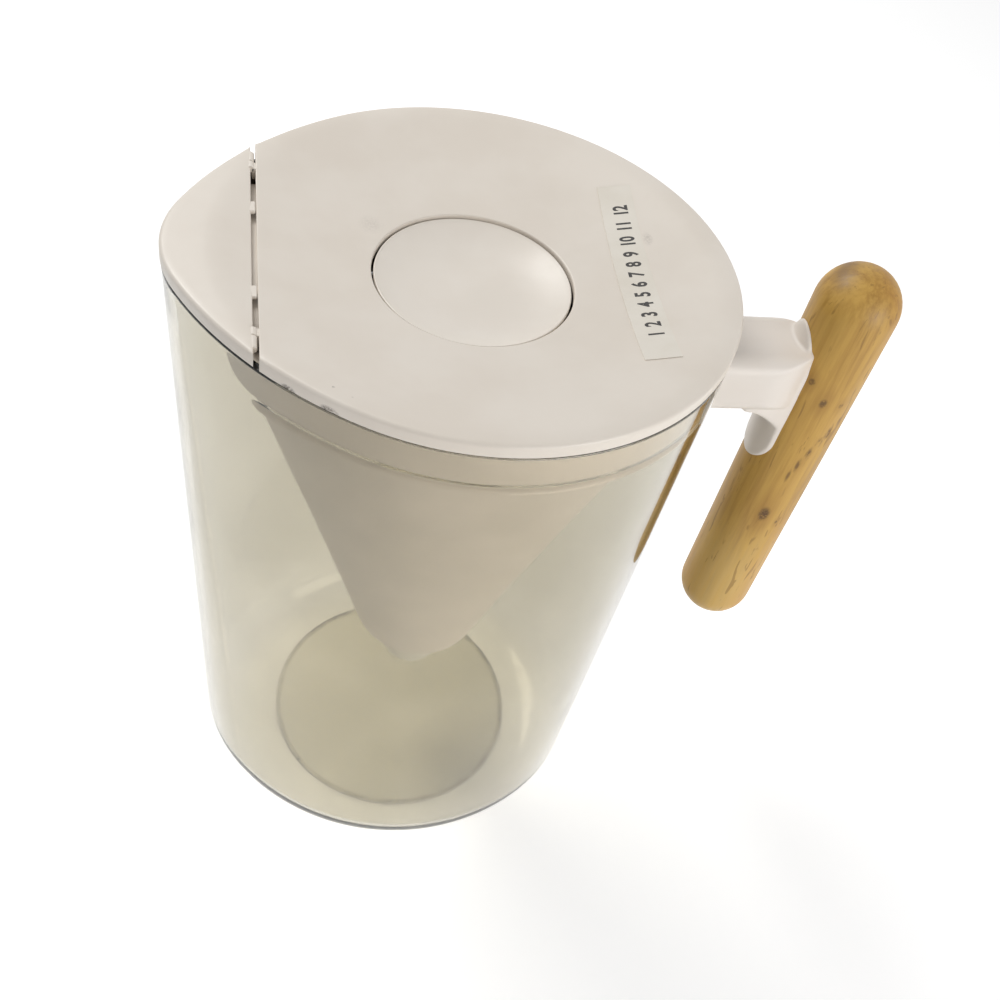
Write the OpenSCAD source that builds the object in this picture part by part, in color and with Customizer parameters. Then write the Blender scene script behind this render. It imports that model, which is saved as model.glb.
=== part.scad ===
/* [Jug] */
// Height of the lid's rim above the floor
rim_h = 247; // [235:1:260]
// Wall thickness of the jug
wall = 2.6; // [2.2:0.1:3]
// Thickness of the jug's floor
floor_t = 3.5; // [3:0.25:5]
// Radius where the wall turns into the floor
base_fillet = 20; // [16:1:24]
// Height of the jug's underside above the floor it stands on
foot_gap = 1; // [0.6:0.1:1.2]
// Radius of the foot pad
pad_r = 50; // [42:0.5:52]
// Thickness of the foot pad
pad_t = 2; // [1.6:0.1:2.4]

/* [Plan at the rim] */
// Distance from the jug's centre to the back of the rim
rim_back = 79.8; // [78:0.1:82]
// Radius of the rim's back
rim_back_r = 76.7; // [74:0.1:78]
// Radius of the rim's sides
rim_side_r = 78.8; // [78:0.1:84]
// Radius of the rim's flanks towards the spout
rim_flank_r = 118; // [108:1:130]
// Radius of the rim at the spout's point
rim_tip_r = 38; // [34:0.5:44]
// Angle where the back turns into the side
rim_back_a = 58; // [50:1:64]
// Angle where the side turns into the flank
rim_side_a = 120; // [114:1:124]

/* [Plan at the floor] */
// Distance from the jug's centre to the back of the floor
base_back = 75.7; // [74:0.1:78]
// Radius of the floor's back
base_back_r = 67.1; // [64:0.1:70]
// Radius of the floor's sides
base_side_r = 86.4; // [82:0.2:90]
// Radius of the floor's flanks
base_flank_r = 80.2; // [76:0.2:84]
// Radius of the floor's front
base_tip_r = 63.6; // [58:0.2:68]
// Angle where the floor's back turns into its side
base_back_a = 60; // [56:1:64]
// Angle where the floor's side turns into its flank
base_side_a = 103; // [100:1:108]

/* [Tank] */
// Distance from the jug's centre to the tank's flat front
tank_front = 69.5; // [67:0.5:70.5]
// Depth of the tank's collar
collar_h = 12.5; // [10:0.5:15]
// Thickness of the tank's collar
collar_t = 2; // [1.6:0.1:2.6]
// Step from the collar in to the tank's wall
collar_step = 4.4; // [4:0.1:6]
// Thickness of the tank's wall
tank_wall = 2; // [1.6:0.1:2.4]
// Height of the funnel's underside
nose_z = 72; // [68:1:78]
// Radius of the funnel's underside
nose_r = 23; // [22.5:0.5:27]
// Forward or back place of the funnel's underside
nose_x = 3; // [0:0.5:8]
// Height of the cartridge socket
socket_h = 23; // [20:1:26]
// Wall thickness of the cartridge socket
socket_wall = 2.2; // [1.8:0.1:2.4]

/* [Cartridge] */
// Radius of the cartridge in its socket
cart_r = 17.8; // [16:0.1:18.6]
// Wall thickness of the cartridge
cart_wall = 1.4; // [1.2:0.1:1.8]
// Height of the cartridge's lowest point
cart_low = 44; // [38:1:50]
// Radius of the cartridge's rounded tip
cart_tip_r = 12.5; // [11:0.5:14]
// Height of the cartridge above its flange
cart_top_h = 42; // [34:1:50]
// Radius of the cartridge's flange
flange_r = 22; // [21.6:0.2:23]
// Height of the vented cap
cap_h = 9; // [7:0.5:12]
// Width of a vent
vent_w = 1.6; // [1.2:0.1:2.2]
// Number of vents in the cap and in the tip
vent_n = 10; // [6:1:12]

/* [Lid] */
// Height of the lid's edge
lid_edge = 4.5; // [4:0.1:6]
// Depth of the dished top
dish_depth = 11; // [9:0.25:12]
// Width of the flat rim beside the dished top
rim_flat = 3; // [2.5:0.1:5]
// Forward or back place of the dish and its fill hole
dish_x = 0.7; // [-1:0.1:2]
// Thickness of the dished plate
plate_t = 2.4; // [2:0.1:2.8]
// Radius of the fill hole
hole_r = 30.2; // [27:0.2:32]
// Depth of the lid's skirt in the tank
skirt_h = 10; // [8:0.25:10.25]
// Thickness of the skirt and the web of the underplate
skirt_t = 1.6; // [1.2:0.1:2]
// Rounding of the lid's top edge
lid_round = 1.25; // [0.75:0.25:2]

/* [Spout flap] */
// Length of the lid from the spout's point back to its straight front edge
flap_l = 26.2; // [25:0.1:27]
// Width of the seam
seam_w = 1.5; // [1.3:0.1:1.8]
// Radius of the hinge knuckles
knuckle_r = 1.1; // [1.05:0.05:1.2]
// Radius of the hinge pins
hinge_pin_r = 0.5; // [0.4:0.05:0.6]
// Distance from the seam's ends in to the lid's hinge knuckles
knuckle_in = 12.2; // [11.4:0.2:16]
// Width of the lid's hinge knuckles
knuckle_w = 3; // [2.5:0.25:3.5]
// Width of the flap's hinge knuckles
flap_knuckle_w = 4.6; // [4:0.2:5]
// Distance from the middle to the stop tabs
tab_y = 18.9; // [14:0.5:22]
// Width of a stop tab
tab_w = 4.6; // [3.6:0.2:6]

/* [Fill door] */
// Gap round the fill door
door_gap = 0.7; // [0.6:0.05:1]
// Depth of the door's own dish
door_dish = 5.5; // [4:0.25:6]
// How much the door's dish steepens towards its edge
door_power = 3; // [2.2:0.1:3.4]
// Thickness of the door
door_t = 1.8; // [1.5:0.1:2.2]
// Drop from the hole's edge to the door's rim
door_drop = 0.8; // [0.5:0.1:1.2]
// Offset of the door's axis behind its middle
door_axis_y = 4.9; // [4:0.1:6]
// Radius of the door's pivot pins
door_pin_r = 1; // [0.8:0.05:1.2]
// Length of the door's balance weight
weight_l = 26; // [20:1:32]
// Radius of the door's balance weight
weight_r = 3; // [2.6:0.1:3.2]

/* [Handle] */
// Distance from the jug's centre to the middle of the wooden rod
rod_x = 126.9; // [122:0.5:132]
// Radius of the wooden rod
rod_r = 14.2; // [13:0.1:15.5]
// Length of the wooden rod, which ends level with the lid's rim
rod_l = 173.6; // [150:0.2:180]
// Width of the arm
arm_w = 28; // [25:0.5:29]
// Distance from the lid's rim down to the arm's top
arm_drop = 28.5; // [26:0.5:32]
// Height of the arm
arm_h = 22.5; // [20:0.5:24]
// Rounding along the arm
arm_round = 6; // [4:0.5:8]
// Height of the saddle's upper end above the arm's top
saddle_rise = 7; // [5:0.5:10]
// Length of the saddle
saddle_l = 60; // [54:0.5:66]
// Half width of the saddle
saddle_hw = 9.2; // [8.8:0.1:10.5]
// Thickness of the saddle on the rod
saddle_t = 1.2; // [1:0.1:2.4]
// Thickness of the flat mount on the jug at the middle of the wall
mount_t = 2.4; // [2.2:0.1:3.5]
// Thickness of the gasket under the arm
gasket_t = 0.8; // [0.6:0.1:1.2]
// Radius of the bolts through the arm
bolt_r = 2; // [1.75:0.05:2.2]
// Distance between the two bolts
bolt_pitch = 11; // [10:0.25:12]
// Radius of the threaded inserts in the rod
insert_r = 3; // [2.8:0.1:3.3]
// Length of the threaded inserts
insert_l = 9; // [7:0.5:10]

/* [Label] */
// Length of the blank tape strip
strip_l = 80.5; // [70:0.5:84]
// Width of the tape strip
strip_w = 10.5; // [8:0.5:12]
// Thickness of the tape strip
strip_t = 0.25; // [0.2:0.05:0.4]
// Distance from the jug's centre to the middle of the strip
strip_x = 49.5; // [46:0.5:51]
// Distance of the strip's middle behind the lid's middle line
strip_y = 0.5; // [-4:0.5:4]
// Turn of the strip on the lid
strip_turn = -2; // [-6:0.5:2]

/* [Fits] */
// Gap between pieces that lift out of each other
lift_gap = 0.4; // [0.35:0.05:0.5]
// Gap under a piece that rests on another
seat_gap = 0.3; // [0.3:0.05:0.4]
// Running gap round a pin
run_gap = 0.05; // [0.03:0.01:0.08]

/* [Hidden] */
$fn = 96;
eps = 0.02;
// How far one piece runs into or past another so that they join or cut cleanly
overlap = 0.5;
big = 400;

// Points along the back, side, flank and tip arcs of half the plan
arc_n = [8, 9, 9, 9];

// A plan is the x of its back, four radii, and the two angles where the first arcs end
rim_plan = [rim_back, rim_back_r, rim_side_r, rim_flank_r, rim_tip_r, rim_back_a, rim_side_a];
base_plan = [base_back, base_back_r, base_side_r, base_flank_r, base_tip_r, base_back_a, base_side_a];

// Angle where the flank meets the tip, so that the tip closes on the middle line
function tip_a(p) =
    180 - asin(-((p[1] - p[2]) * sin(p[5]) + (p[2] - p[3]) * sin(p[6])) / (p[3] - p[4]));
function arc_ends(p) = [0, p[5], p[6], tip_a(p), 180];
function dir(a) = [cos(a), sin(a)];
// Centres of the four arcs, each tangent to the one before
function arc_c(p, k) =
    k == 0 ? [p[0] - p[1], 0] : arc_c(p, k - 1) + (p[k] - p[k + 1]) * dir(arc_ends(p)[k]);
// Half the plan from the back to the tip, moved in by d
function half_plan(p, d) = [
    for (k = [0:3]) for (j = [(k == 0 ? 0 : 1):arc_n[k]])
        let (e = arc_ends(p), a = e[k] + (e[k + 1] - e[k]) * j / arc_n[k])
        arc_c(p, k) + (p[k + 1] - d) * dir(a)
];
function flip(pts) = [for (i = [len(pts) - 2:-1:1]) [pts[i][0], -pts[i][1]]];
function whole(half) = concat(half, flip(half));
// The jug's outer outline at height z, moved in by d
function ring(z, d) =
    let (f = z / rim_h, a = half_plan(base_plan, d), b = half_plan(rim_plan, d))
    whole([for (i = [0:len(a) - 1]) a[i] * (1 - f) + b[i] * f]);
// Keeps x behind the line at lo, with a soft corner of half width w
function soft_min_x(x, lo, w) =
    x - lo > w ? x : x - lo < -w ? lo : lo + pow(x - lo + w, 2) / (4 * w);
corner_w = 10;
// Outline of the tank or of what fits in it: the jug's outline with a flat front
function tank_ring(z, d, e) =
    [for (p = ring(z, d)) [soft_min_x(p[0], -tank_front + e, corner_w), p[1]]];
function at_z(pts, z) = [for (p = pts) [p[0], p[1], z]];

// Closed solid through a stack of rings with the same number of points
module loft(rings) {
    n = len(rings[0]);
    m = len(rings);
    pts = [for (r = rings) for (p = r) p];
    sides = [for (k = [0:m - 2]) for (i = [0:n - 1])
        let (a = k * n + i, b = k * n + (i + 1) % n)
        each [[a, a + n, b + n], [a, b + n, b]]];
    low = [for (i = [0:n - 1]) i];
    high = [for (i = [n - 1:-1:0]) (m - 1) * n + i];
    polyhedron(pts, concat([low], sides, [high]), convexity = 10);
}

// Heights that follow from the sizes above
lid_low = rim_h - lid_edge;
body_top = lid_low - seat_gap;
collar_low = body_top - collar_h;
ledge_z = collar_low - seat_gap;
floor_z = foot_gap + floor_t;
collar_in = wall + lift_gap;
tank_in = collar_in + collar_step;
skirt_in = collar_in + collar_t + lift_gap;
ledge_in = wall + collar_t;

// The lid's seam and dish follow the plan of the rim
tip_x = arc_c(rim_plan, 3)[0] - rim_tip_r;
seam_x = -tip_x - flap_l;
side_y = arc_c(rim_plan, 1)[1] + rim_side_r;
dish_r = side_y - rim_flat;

// The dish of the lid is part of a sphere
dish_R = (pow(dish_r, 2) + pow(dish_depth, 2)) / (2 * dish_depth);
dish_cz = rim_h - dish_depth + dish_R;
function dish_z(r) = dish_cz - sqrt(pow(dish_R, 2) - r * r);
function under_z(r) = dish_cz - sqrt(pow(dish_R + plate_t, 2) - r * r);
module dish_ball(extra) translate([dish_x, 0, dish_cz]) sphere(r = dish_R + extra, $fn = 360);

// Jug

ledge_drop = 2.6;
fillet_n = 6;
module body_shell() {
    outer = [for (k = [0:fillet_n]) let (a = 90 * k / fillet_n, z = foot_gap + base_fillet * (1 - cos(a)))
        at_z(ring(z, base_fillet * (1 - sin(a))), z)];
    inner_fillet = base_fillet - wall;
    inner = [for (k = [fillet_n:-1:0])
        let (a = 90 * k / fillet_n, z = floor_z + inner_fillet * (1 - cos(a)))
        at_z(ring(z, wall + inner_fillet * (1 - sin(a))), z)];
    ledge = [
        at_z(ring(ledge_z, wall), ledge_z),
        at_z(ledge_ring(ledge_z), ledge_z - eps),
        at_z(ring(ledge_z, wall), ledge_z - ledge_drop)
    ];
    loft(concat(outer, [at_z(ring(body_top, 0), body_top), at_z(ring(body_top, wall), body_top)],
        ledge, inner));
}
// The ledge that carries the tank's collar stops short of the spout
function ledge_ring(z) =
    let (a = ring(z, wall), b = ring(z, ledge_in))
    [for (i = [0:len(a) - 1]) a[i][0] > corner_w - tank_front ? b[i] : a[i]];

arm_top = rim_h - arm_drop;
arm_low = arm_top - arm_h;
arm_mid_z = (arm_low + arm_top) / 2;
saddle_top = arm_top + saddle_rise;
saddle_low = saddle_top - saddle_l;
rod_top = rim_h;
rod_low = rod_top - rod_l;
bolt_zs = [arm_mid_z - bolt_pitch / 2, arm_mid_z + bolt_pitch / 2];
wall_x = ring(arm_mid_z, 0)[0][0];
inner_x = ring(arm_mid_z, wall)[0][0];
mount_x = wall_x + mount_t;
arm_x = mount_x + gasket_t;
mount_root = 0.5;
// Flat seats cut into the inside of the wall for the bolts' sealing rings
seat_x = inner_x + 0.15;
seal_t = 0.8;
head_r = 3.6;
seal_r = head_r + 0.4;

// Rounded outline of the arm's end in the Y and Z plane, made along X
module arm_bar(x0, x1, inset = 0) {
    w = arm_w - 2 * inset;
    h = arm_h - 2 * inset;
    r = arm_round - inset;
    translate([x0, 0, arm_mid_z]) rotate([90, 0, 90]) linear_extrude(x1 - x0) {
        square([w - 2 * r, h], center = true);
        square([w, h - 2 * r], center = true);
        for (sy = [-1, 1]) for (sz = [-1, 1])
            translate([sy * (w / 2 - r), sz * (h / 2 - r)]) circle(r);
    }
}
module bolt_holes(x0, x1, r)
    for (z = bolt_zs) translate([x0, 0, z]) rotate([0, 90, 0]) cylinder(r = r, h = x1 - x0);

bolt_play = 0.3;
module pitcher_body() color([0.80, 0.80, 0.74, 0.35]) difference() {
    union() {
        body_shell();
        arm_bar(inner_x + mount_root, mount_x);
    }
    translate([0, 0, -1]) cylinder(r = pad_r + seat_gap, h = 1 + pad_t);
    bolt_holes(seat_x - 1, mount_x + 1, bolt_r + bolt_play);
    bolt_holes(seat_x - 1, seat_x, seal_r + bolt_play);
}

pad_bevel = 0.5;
module base_pad() color([0.72, 0.71, 0.66]) rotate_extrude()
    polygon([[0, 0], [pad_r - pad_bevel, 0], [pad_r, pad_bevel], [pad_r, pad_t], [0, pad_t]]);

// Handle

saddle_out = rod_r + saddle_t;
// How much longer than wide the saddle's upper and lower ends are
upper_long = 2;
lower_long = 1.3;
module saddle_outline() hull() {
    translate([0, saddle_top - upper_long * saddle_hw]) scale([1, upper_long]) circle(saddle_hw);
    translate([0, saddle_low + lower_long * saddle_hw]) scale([1, lower_long]) circle(saddle_hw);
}
// Both ends of the saddle thin out towards the rod
saddle_lip = 0.8;
saddle_ease = 7;
module saddle() intersection() {
    translate([rod_x, 0, 0]) rotate_extrude() polygon([
        [0, saddle_low], [rod_r + saddle_lip, saddle_low], [saddle_out, saddle_low + saddle_ease],
        [saddle_out, arm_top], [rod_r + saddle_lip, saddle_top], [0, saddle_top]]);
    translate([rod_x - saddle_out - 1, 0, 0]) rotate([90, 0, 90])
        linear_extrude(saddle_out + 1) saddle_outline();
}
// Web under the arm where it slopes down into the saddle's tongue
web_l = 17;
web_h = 11;
web_hw = arm_w / 2 - 1.5;
web_n = 5;
web_m = 5;
web_up = 4;
// Section of the web at height z, f of the way from the arm's underside to the tongue
function web_ring(f, z) =
    let (x = rod_x - saddle_out - web_l * (1 - f), w = web_hw + (saddle_hw - web_hw) * f)
    concat([for (k = [-web_m:web_m]) let (t = k / web_m)
            [x + saddle_out - sqrt(pow(saddle_out, 2) - pow(saddle_hw * t, 2)), -w * t, z]],
        [for (s = [-1, 1]) [saddle_edge_x + overlap, s * saddle_hw, z]]);
module tongue_web() loft(concat(
    [for (k = [web_n:-1:0]) web_ring(k / web_n, arm_low - web_h * pow(k / web_n, 1.5))],
    [web_ring(0, arm_low + web_up)]));
// Plan of the arm, drawn in towards the saddle's edges
saddle_half_a = asin(saddle_hw / rod_r);
saddle_edge_x = rod_x - rod_r * cos(saddle_half_a);
function arm_half(x) =
    let (u = max(0, (x - saddle_edge_x + arm_taper) / arm_taper))
    arm_w / 2 - (arm_w / 2 - saddle_hw + arm_end_in) * u * u;
arm_taper = 16;
arm_end_in = 1;
taper_n = 6;
module arm_plan() {
    xs = concat([arm_x - 1], [for (k = [0:taper_n]) saddle_edge_x - arm_taper * (1 - k / taper_n)]);
    side = [for (x = xs) [x, arm_half(x)]];
    polygon(concat(side, [for (k = [len(side) - 1:-1:0]) [side[k][0], -side[k][1]]]));
}
module handle_bracket() color([0.87, 0.85, 0.81]) difference() {
    union() {
        intersection() {
            arm_bar(arm_x, rod_x);
            linear_extrude(big) arm_plan();
        }
        saddle();
        tongue_web();
    }
    translate([rod_x, 0, 0]) cylinder(r = rod_r, h = big);
    bolt_holes(arm_x - 1, rod_x, bolt_r + run_gap);
}
gasket_inset = 1;
module bracket_gasket() color([0.45, 0.45, 0.43]) difference() {
    arm_bar(mount_x, arm_x, gasket_inset);
    bolt_holes(mount_x - 1, arm_x + 1, bolt_r + run_gap);
}

head_t = 2.2;
recess_r = 1.25;
recess_h = 1.2;
insert_x = rod_x - rod_r + 1;
tip_play = 0.5;
module bracket_bolts() color([0.72, 0.72, 0.74]) for (z = bolt_zs) {
    x0 = seat_x - seal_t - 2 * eps;
    translate([x0 - head_t, 0, z]) rotate([0, 90, 0]) difference() {
        cylinder(r = head_r, h = head_t);
        translate([0, 0, -1]) cylinder(r = recess_r, h = 1 + recess_h);
    }
    translate([x0 - 0.1, 0, z]) rotate([0, 90, 0])
        cylinder(r = bolt_r, h = insert_x + insert_l - tip_play - x0 + 0.1);
}
module bolt_seals() color([0.3, 0.3, 0.3]) for (z = bolt_zs)
    translate([seat_x - seal_t - eps, 0, z]) rotate([0, 90, 0]) difference() {
        cylinder(r = seal_r, h = seal_t);
        translate([0, 0, -1]) cylinder(r = bolt_r + run_gap, h = seal_t + 2);
    }
rod_play = 0.05;
module handle_grip() color([0.69, 0.55, 0.30]) difference() {
    r = rod_r - rod_play;
    union() {
        translate([rod_x, 0, rod_low + r]) cylinder(r = r, h = rod_l - 2 * r);
        for (z = [rod_low + r, rod_top - r]) translate([rod_x, 0, z]) sphere(r);
    }
    bolt_holes(rod_x - rod_r - 1, insert_x, bolt_r + run_gap);
    bolt_holes(insert_x - eps, insert_x + insert_l, insert_r);
}
module grip_inserts() color([0.75, 0.62, 0.3]) difference() {
    bolt_holes(insert_x, insert_x + insert_l, insert_r - eps);
    bolt_holes(insert_x - 1, insert_x + insert_l + 1, bolt_r + run_gap);
}

// Tank

// Outline of the tank at height z, moved in by d: part nose circle and part jug outline
function funnel_ring(z, d) =
    let (k = (z - nose_z) / (collar_low - nose_z), c = [nose_x, 0])
    [for (p = tank_ring(z, tank_in + d, d))
        let (a = atan2(p[1], p[0] - nose_x))
        (c + (nose_r - d) * dir(a)) * (1 - k) + p * k];
funnel_n = 6;
funnel_low = nose_z + tank_wall;
// The collar's top follows the underside of the dished lid
function lid_clear_z(p) =
    let (r = norm([p[0] - dish_x, p[1]]))
    min(body_top, under_z(r) - lift_gap);
function crown(pts) = [for (p = pts) [p[0], p[1], lid_clear_z(p)]];
collar_root = 2.2;
module tank_shell() {
    outer = [for (k = [0:funnel_n]) let (z = nose_z + (collar_low - nose_z) * k / funnel_n)
        at_z(funnel_ring(z, 0), z)];
    collar = [
        at_z(tank_ring(collar_low, collar_in, 0), collar_low + eps),
        crown(tank_ring(body_top, collar_in, 0)),
        crown(tank_ring(body_top, collar_in + collar_t, collar_t)),
        at_z(tank_ring(body_top, collar_in + collar_t, collar_t), collar_low + collar_root),
        at_z(funnel_ring(collar_low, tank_wall), collar_low + collar_root - eps)
    ];
    inner = [for (k = [funnel_n - 1:-1:0]) let (z = funnel_low + (collar_low - funnel_low) * k / funnel_n)
        at_z(funnel_ring(z, tank_wall), z)];
    loft(concat(outer, collar, inner));
}
socket_r = cart_r + lift_gap;
socket_top = nose_z + socket_h;
module reservoir() color([0.84, 0.81, 0.77]) difference() {
    union() {
        tank_shell();
        translate([nose_x, 0, nose_z]) cylinder(r = socket_r + socket_wall, h = socket_h);
    }
    translate([nose_x, 0, nose_z - 1]) cylinder(r = socket_r, h = socket_h + 2);
}

// Cartridge

flange_t = 2;
flange_z = socket_top + seat_gap;
cart_top = flange_z + cart_top_h;
tip_z = cart_low + cart_tip_r;
cone_z = nose_z - 4;
upper_r = cart_r + 2.2;
plug_t = 1;
tip_floor = 1.6;
cap_base = cart_top + cap_h;
cap_plate = 1.6;
cap_ease = 2;
cap_shoulder = 5;
// Radii where the vents of the cap and of the tip begin
vent_hub = 6;
tip_hub = 4;
// Outer profile of the cartridge from its tip up, moved in by d
function cart_side(d) = concat(
    [for (a = [-90:15:-15]) [(cart_tip_r - d) * cos(a), tip_z + (cart_tip_r - d) * sin(a)]],
    [[cart_tip_r - d, tip_z], [cart_r - d, cone_z]]);
module vents(r0, r1, z0, z1)
    for (k = [0:vent_n - 1]) rotate(k * 360 / vent_n)
        translate([r0, -vent_w / 2, z0]) cube([r1 - r0, vent_w, z1 - z0]);
groove_drop = 7;
groove_z = socket_top - groove_drop;
groove_r = 1.2;
ring_r = 0.72;
seal_gap = 0.04;
module filter_shell() color([0.90, 0.89, 0.86]) translate([nose_x, 0, 0]) difference() {
    rotate_extrude() difference() {
        polygon(concat(cart_side(0), [
            [cart_r, flange_z], [flange_r, flange_z], [flange_r, flange_z + flange_t],
            [upper_r, flange_z + flange_t], [upper_r, cart_top], [0, cart_top]]));
        polygon(concat(cart_side(cart_wall), [
            [cart_r - cart_wall, flange_z + flange_t], [upper_r - cart_wall, flange_z + flange_t + 1],
            [upper_r - cart_wall, cart_top + 1], [0, cart_top + 1]]));
        translate([cart_r, groove_z]) circle(groove_r);
    }
    vents(tip_hub, cart_tip_r + tip_hub, cart_low - 1, tip_z - cart_tip_r * 0.45);
}
// Sloped side of the cap from its foot to its top, moved in by d
function cap_side(d) = [
    [upper_r - d, cart_top + (d > 0 ? cap_plate : cap_ease)],
    [upper_r - cap_ease - d, cap_base - (cap_ease + d) * 0.75],
    [upper_r - cap_shoulder - d / 2, cap_base - d]];
function backwards(pts) = [for (i = [len(pts) - 1:-1:0]) pts[i]];
module filter_cap() color([0.93, 0.92, 0.90]) translate([nose_x, 0, 0]) difference() {
    rotate_extrude() polygon(concat(
        [[0, cart_top + seat_gap / 3], [upper_r, cart_top + seat_gap / 3]], cap_side(0),
        [[0, cap_base], [0, cap_base - cart_wall]], backwards(cap_side(cart_wall)),
        [[0, cart_top + cap_plate]]));
    vents(vent_hub, upper_r - cap_ease - 1, cart_top - 1, cap_base + 1);
}
mesh_t = 0.8;
mesh_gap = 0.2;
bed_r = cart_r - cart_wall - mesh_gap;
bed_low = cone_z;
bed_top = cart_top - mesh_t - 1;
module filter_mesh_bottom() color([0.8, 0.8, 0.8])
    translate([nose_x, 0, bed_low - mesh_t]) mesh_disc(bed_r - seat_gap);
module filter_mesh_top() color([0.8, 0.8, 0.8])
    translate([nose_x, 0, bed_top]) mesh_disc(upper_r - cart_wall - mesh_gap);
module mesh_disc(r) difference() {
    cylinder(r = r, h = mesh_t);
    for (ring_r = [r * 0.35, r * 0.75]) for (k = [0:vent_n - 1]) rotate(k * 360 / vent_n)
        translate([ring_r, 0, -1]) cylinder(r = vent_w / 2, h = mesh_t + 2);
}
module filter_carbon() color([0.13, 0.13, 0.13]) translate([nose_x, 0, 0]) rotate_extrude() polygon([
    [0, bed_low + eps], [bed_r, bed_low + eps], [bed_r, flange_z + flange_t],
    [upper_r - cart_wall - mesh_gap, flange_z + flange_t + 1.4],
    [upper_r - cart_wall - mesh_gap, bed_top - eps], [0, bed_top - eps]]);
module filter_seal() color([0.35, 0.35, 0.35]) translate([nose_x, 0, groove_z]) rotate_extrude()
    translate([cart_r + lift_gap - seal_gap - ring_r, 0]) circle(ring_r);

// Lid

edge_ease = 0.4;
module rim_slab() {
    steps = 3;
    top = [for (k = [0:steps]) let (a = 90 * k / steps)
        at_z(ring(rim_h, lid_round * (1 - cos(a))), rim_h - lid_round * (1 - sin(a)))];
    loft(concat([at_z(ring(rim_h, edge_ease), lid_low), at_z(ring(rim_h, 0), lid_low + edge_ease)], top));
}
web_z = lid_low - skirt_h;
hole_z = dish_z(hole_r);
door_rim = hole_z - door_drop;
door_r = hole_r - door_gap;
boss_r = door_pin_r + 1.3;
door_axis_z = door_rim - door_t - boss_r + 0.2;
boss_l = 4;
boss_in = 0.4;
// Radius inside which the dished plate hangs below the lid's edge
bowl_in = 4.5;
bowl_r = dish_r - bowl_in;
boss_x = hole_r + seat_gap;
hinge_x = -seam_x - seam_w;
hinge_z = rim_h - knuckle_r;
// Half length of the seam, where the lid's outline crosses it
seam_y = lookup(-seam_x, half_plan(rim_plan, 0));
knuckle_y = seam_y - knuckle_in;
module on_hinge(y, w) for (s = [-1, 1]) translate([hinge_x, s * (y + w / 2), hinge_z])
    rotate([90, 0, 0]) translate([0, 0, -w / 2]) children();
module lid_plate() color([0.88, 0.85, 0.81]) difference() {
    union() {
        intersection() {
            union() {
                rim_slab();
                intersection() {
                    dish_ball(plate_t);
                    translate([dish_x, 0, lid_low - dish_depth])
                        cylinder(r = bowl_r, h = dish_depth + overlap);
                }
            }
            translate([-seam_x, -big / 2, 0]) cube([big, big, big]);
        }
        for (s = [-1, 1]) {
            translate([dish_x + s * (boss_x + boss_l / 2), door_axis_y, 0]) pin_boss(boss_l);
            translate([0, s * (knuckle_y + knuckle_w / 2), 0]) knuckle_web();
        }
        on_hinge(knuckle_y, knuckle_w) cylinder(r = knuckle_r, h = knuckle_w);
        seam_shelf();
    }
    dish_cut();
    translate([dish_x, 0, 0]) cylinder(r = hole_r, h = big);
    door_pin_bores(hinge_play = eps);
    on_hinge(knuckle_y, knuckle_w) translate([0, 0, -1])
        cylinder(r = hinge_pin_r + eps, h = knuckle_w + 2);
}
// Narrow shelf on the lid that closes the seam from below
shelf_t = 0.8;
shelf_reach = 0.6;
shelf_root = 1.5;
shelf_in = 14;
module seam_shelf() {
    l = 2 * (seam_y - shelf_in);
    z = lid_low - seat_gap - shelf_t;
    translate([hinge_x - shelf_reach, -l / 2, z]) cube([shelf_reach + seam_w + shelf_root, l, shelf_t]);
    translate([-seam_x, -l / 2, z]) cube([shelf_root, l, lid_low + overlap - z]);
}
// The hollow of the dish, kept clear of the hinge knuckles
module dish_cut() difference() {
    dish_ball(0);
    translate([-seam_x - 3 * seam_w, -big / 2, 0]) cube([3 * seam_w, big, 2 * rim_h]);
}
web_in = 0.4;
module knuckle_web() translate([hinge_x + web_in, -knuckle_w / 2, lid_low])
    cube([seam_w + overlap, knuckle_w, hinge_z + web_in - lid_low]);
module pin_boss(l) translate([-l / 2, 0, door_axis_z]) {
    rotate([0, 90, 0]) cylinder(r = boss_r, h = l);
    translate([0, -boss_r, 0]) cube([l, 2 * boss_r, hole_z - door_axis_z - boss_in]);
}
module door_pin_bores(hinge_play) for (s = [-1, 1])
    translate([dish_x + s * (boss_x + boss_l / 2), door_axis_y, door_axis_z]) rotate([0, 90, 0])
        cylinder(r = door_pin_r + hinge_play, h = boss_l + 2, center = true);

web_gap = 3;
web_hole_r = hole_r + boss_l + web_gap;
// The skirt's flat front lies behind the seam, so the flap opens onto the tank's open front
skirt_set = 4.2;
skirt_back = tank_front - seam_x + skirt_set;
module skirt_outline(extra) polygon(tank_ring(lid_low, skirt_in + extra, skirt_back + extra));
module lid_underplate() color([0.90, 0.88, 0.85]) difference() {
    union() {
        translate([0, 0, web_z]) linear_extrude(lid_low - web_z - eps) difference() {
            skirt_outline(0);
            skirt_outline(skirt_t);
        }
        translate([0, 0, web_z]) linear_extrude(skirt_t) difference() {
            skirt_outline(0);
            translate([dish_x, 0]) circle(web_hole_r);
        }
        translate([dish_x, 0, web_z]) difference() {
            cylinder(r = web_hole_r + skirt_t, h = lid_low - web_z - eps);
            translate([0, 0, -1]) cylinder(r = web_hole_r, h = big);
        }
    }
    dish_ball(plate_t + eps);
}
module label_strip() color([0.86, 0.84, 0.79]) intersection() {
    difference() {
        dish_ball(-eps);
        dish_ball(-eps - strip_t);
    }
    translate([strip_x, strip_y, rim_h - dish_depth]) rotate(strip_turn)
        translate([-strip_w / 2, -strip_l / 2, 0]) cube([strip_w, strip_l, 2 * dish_depth]);
}

// Spout flap

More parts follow.
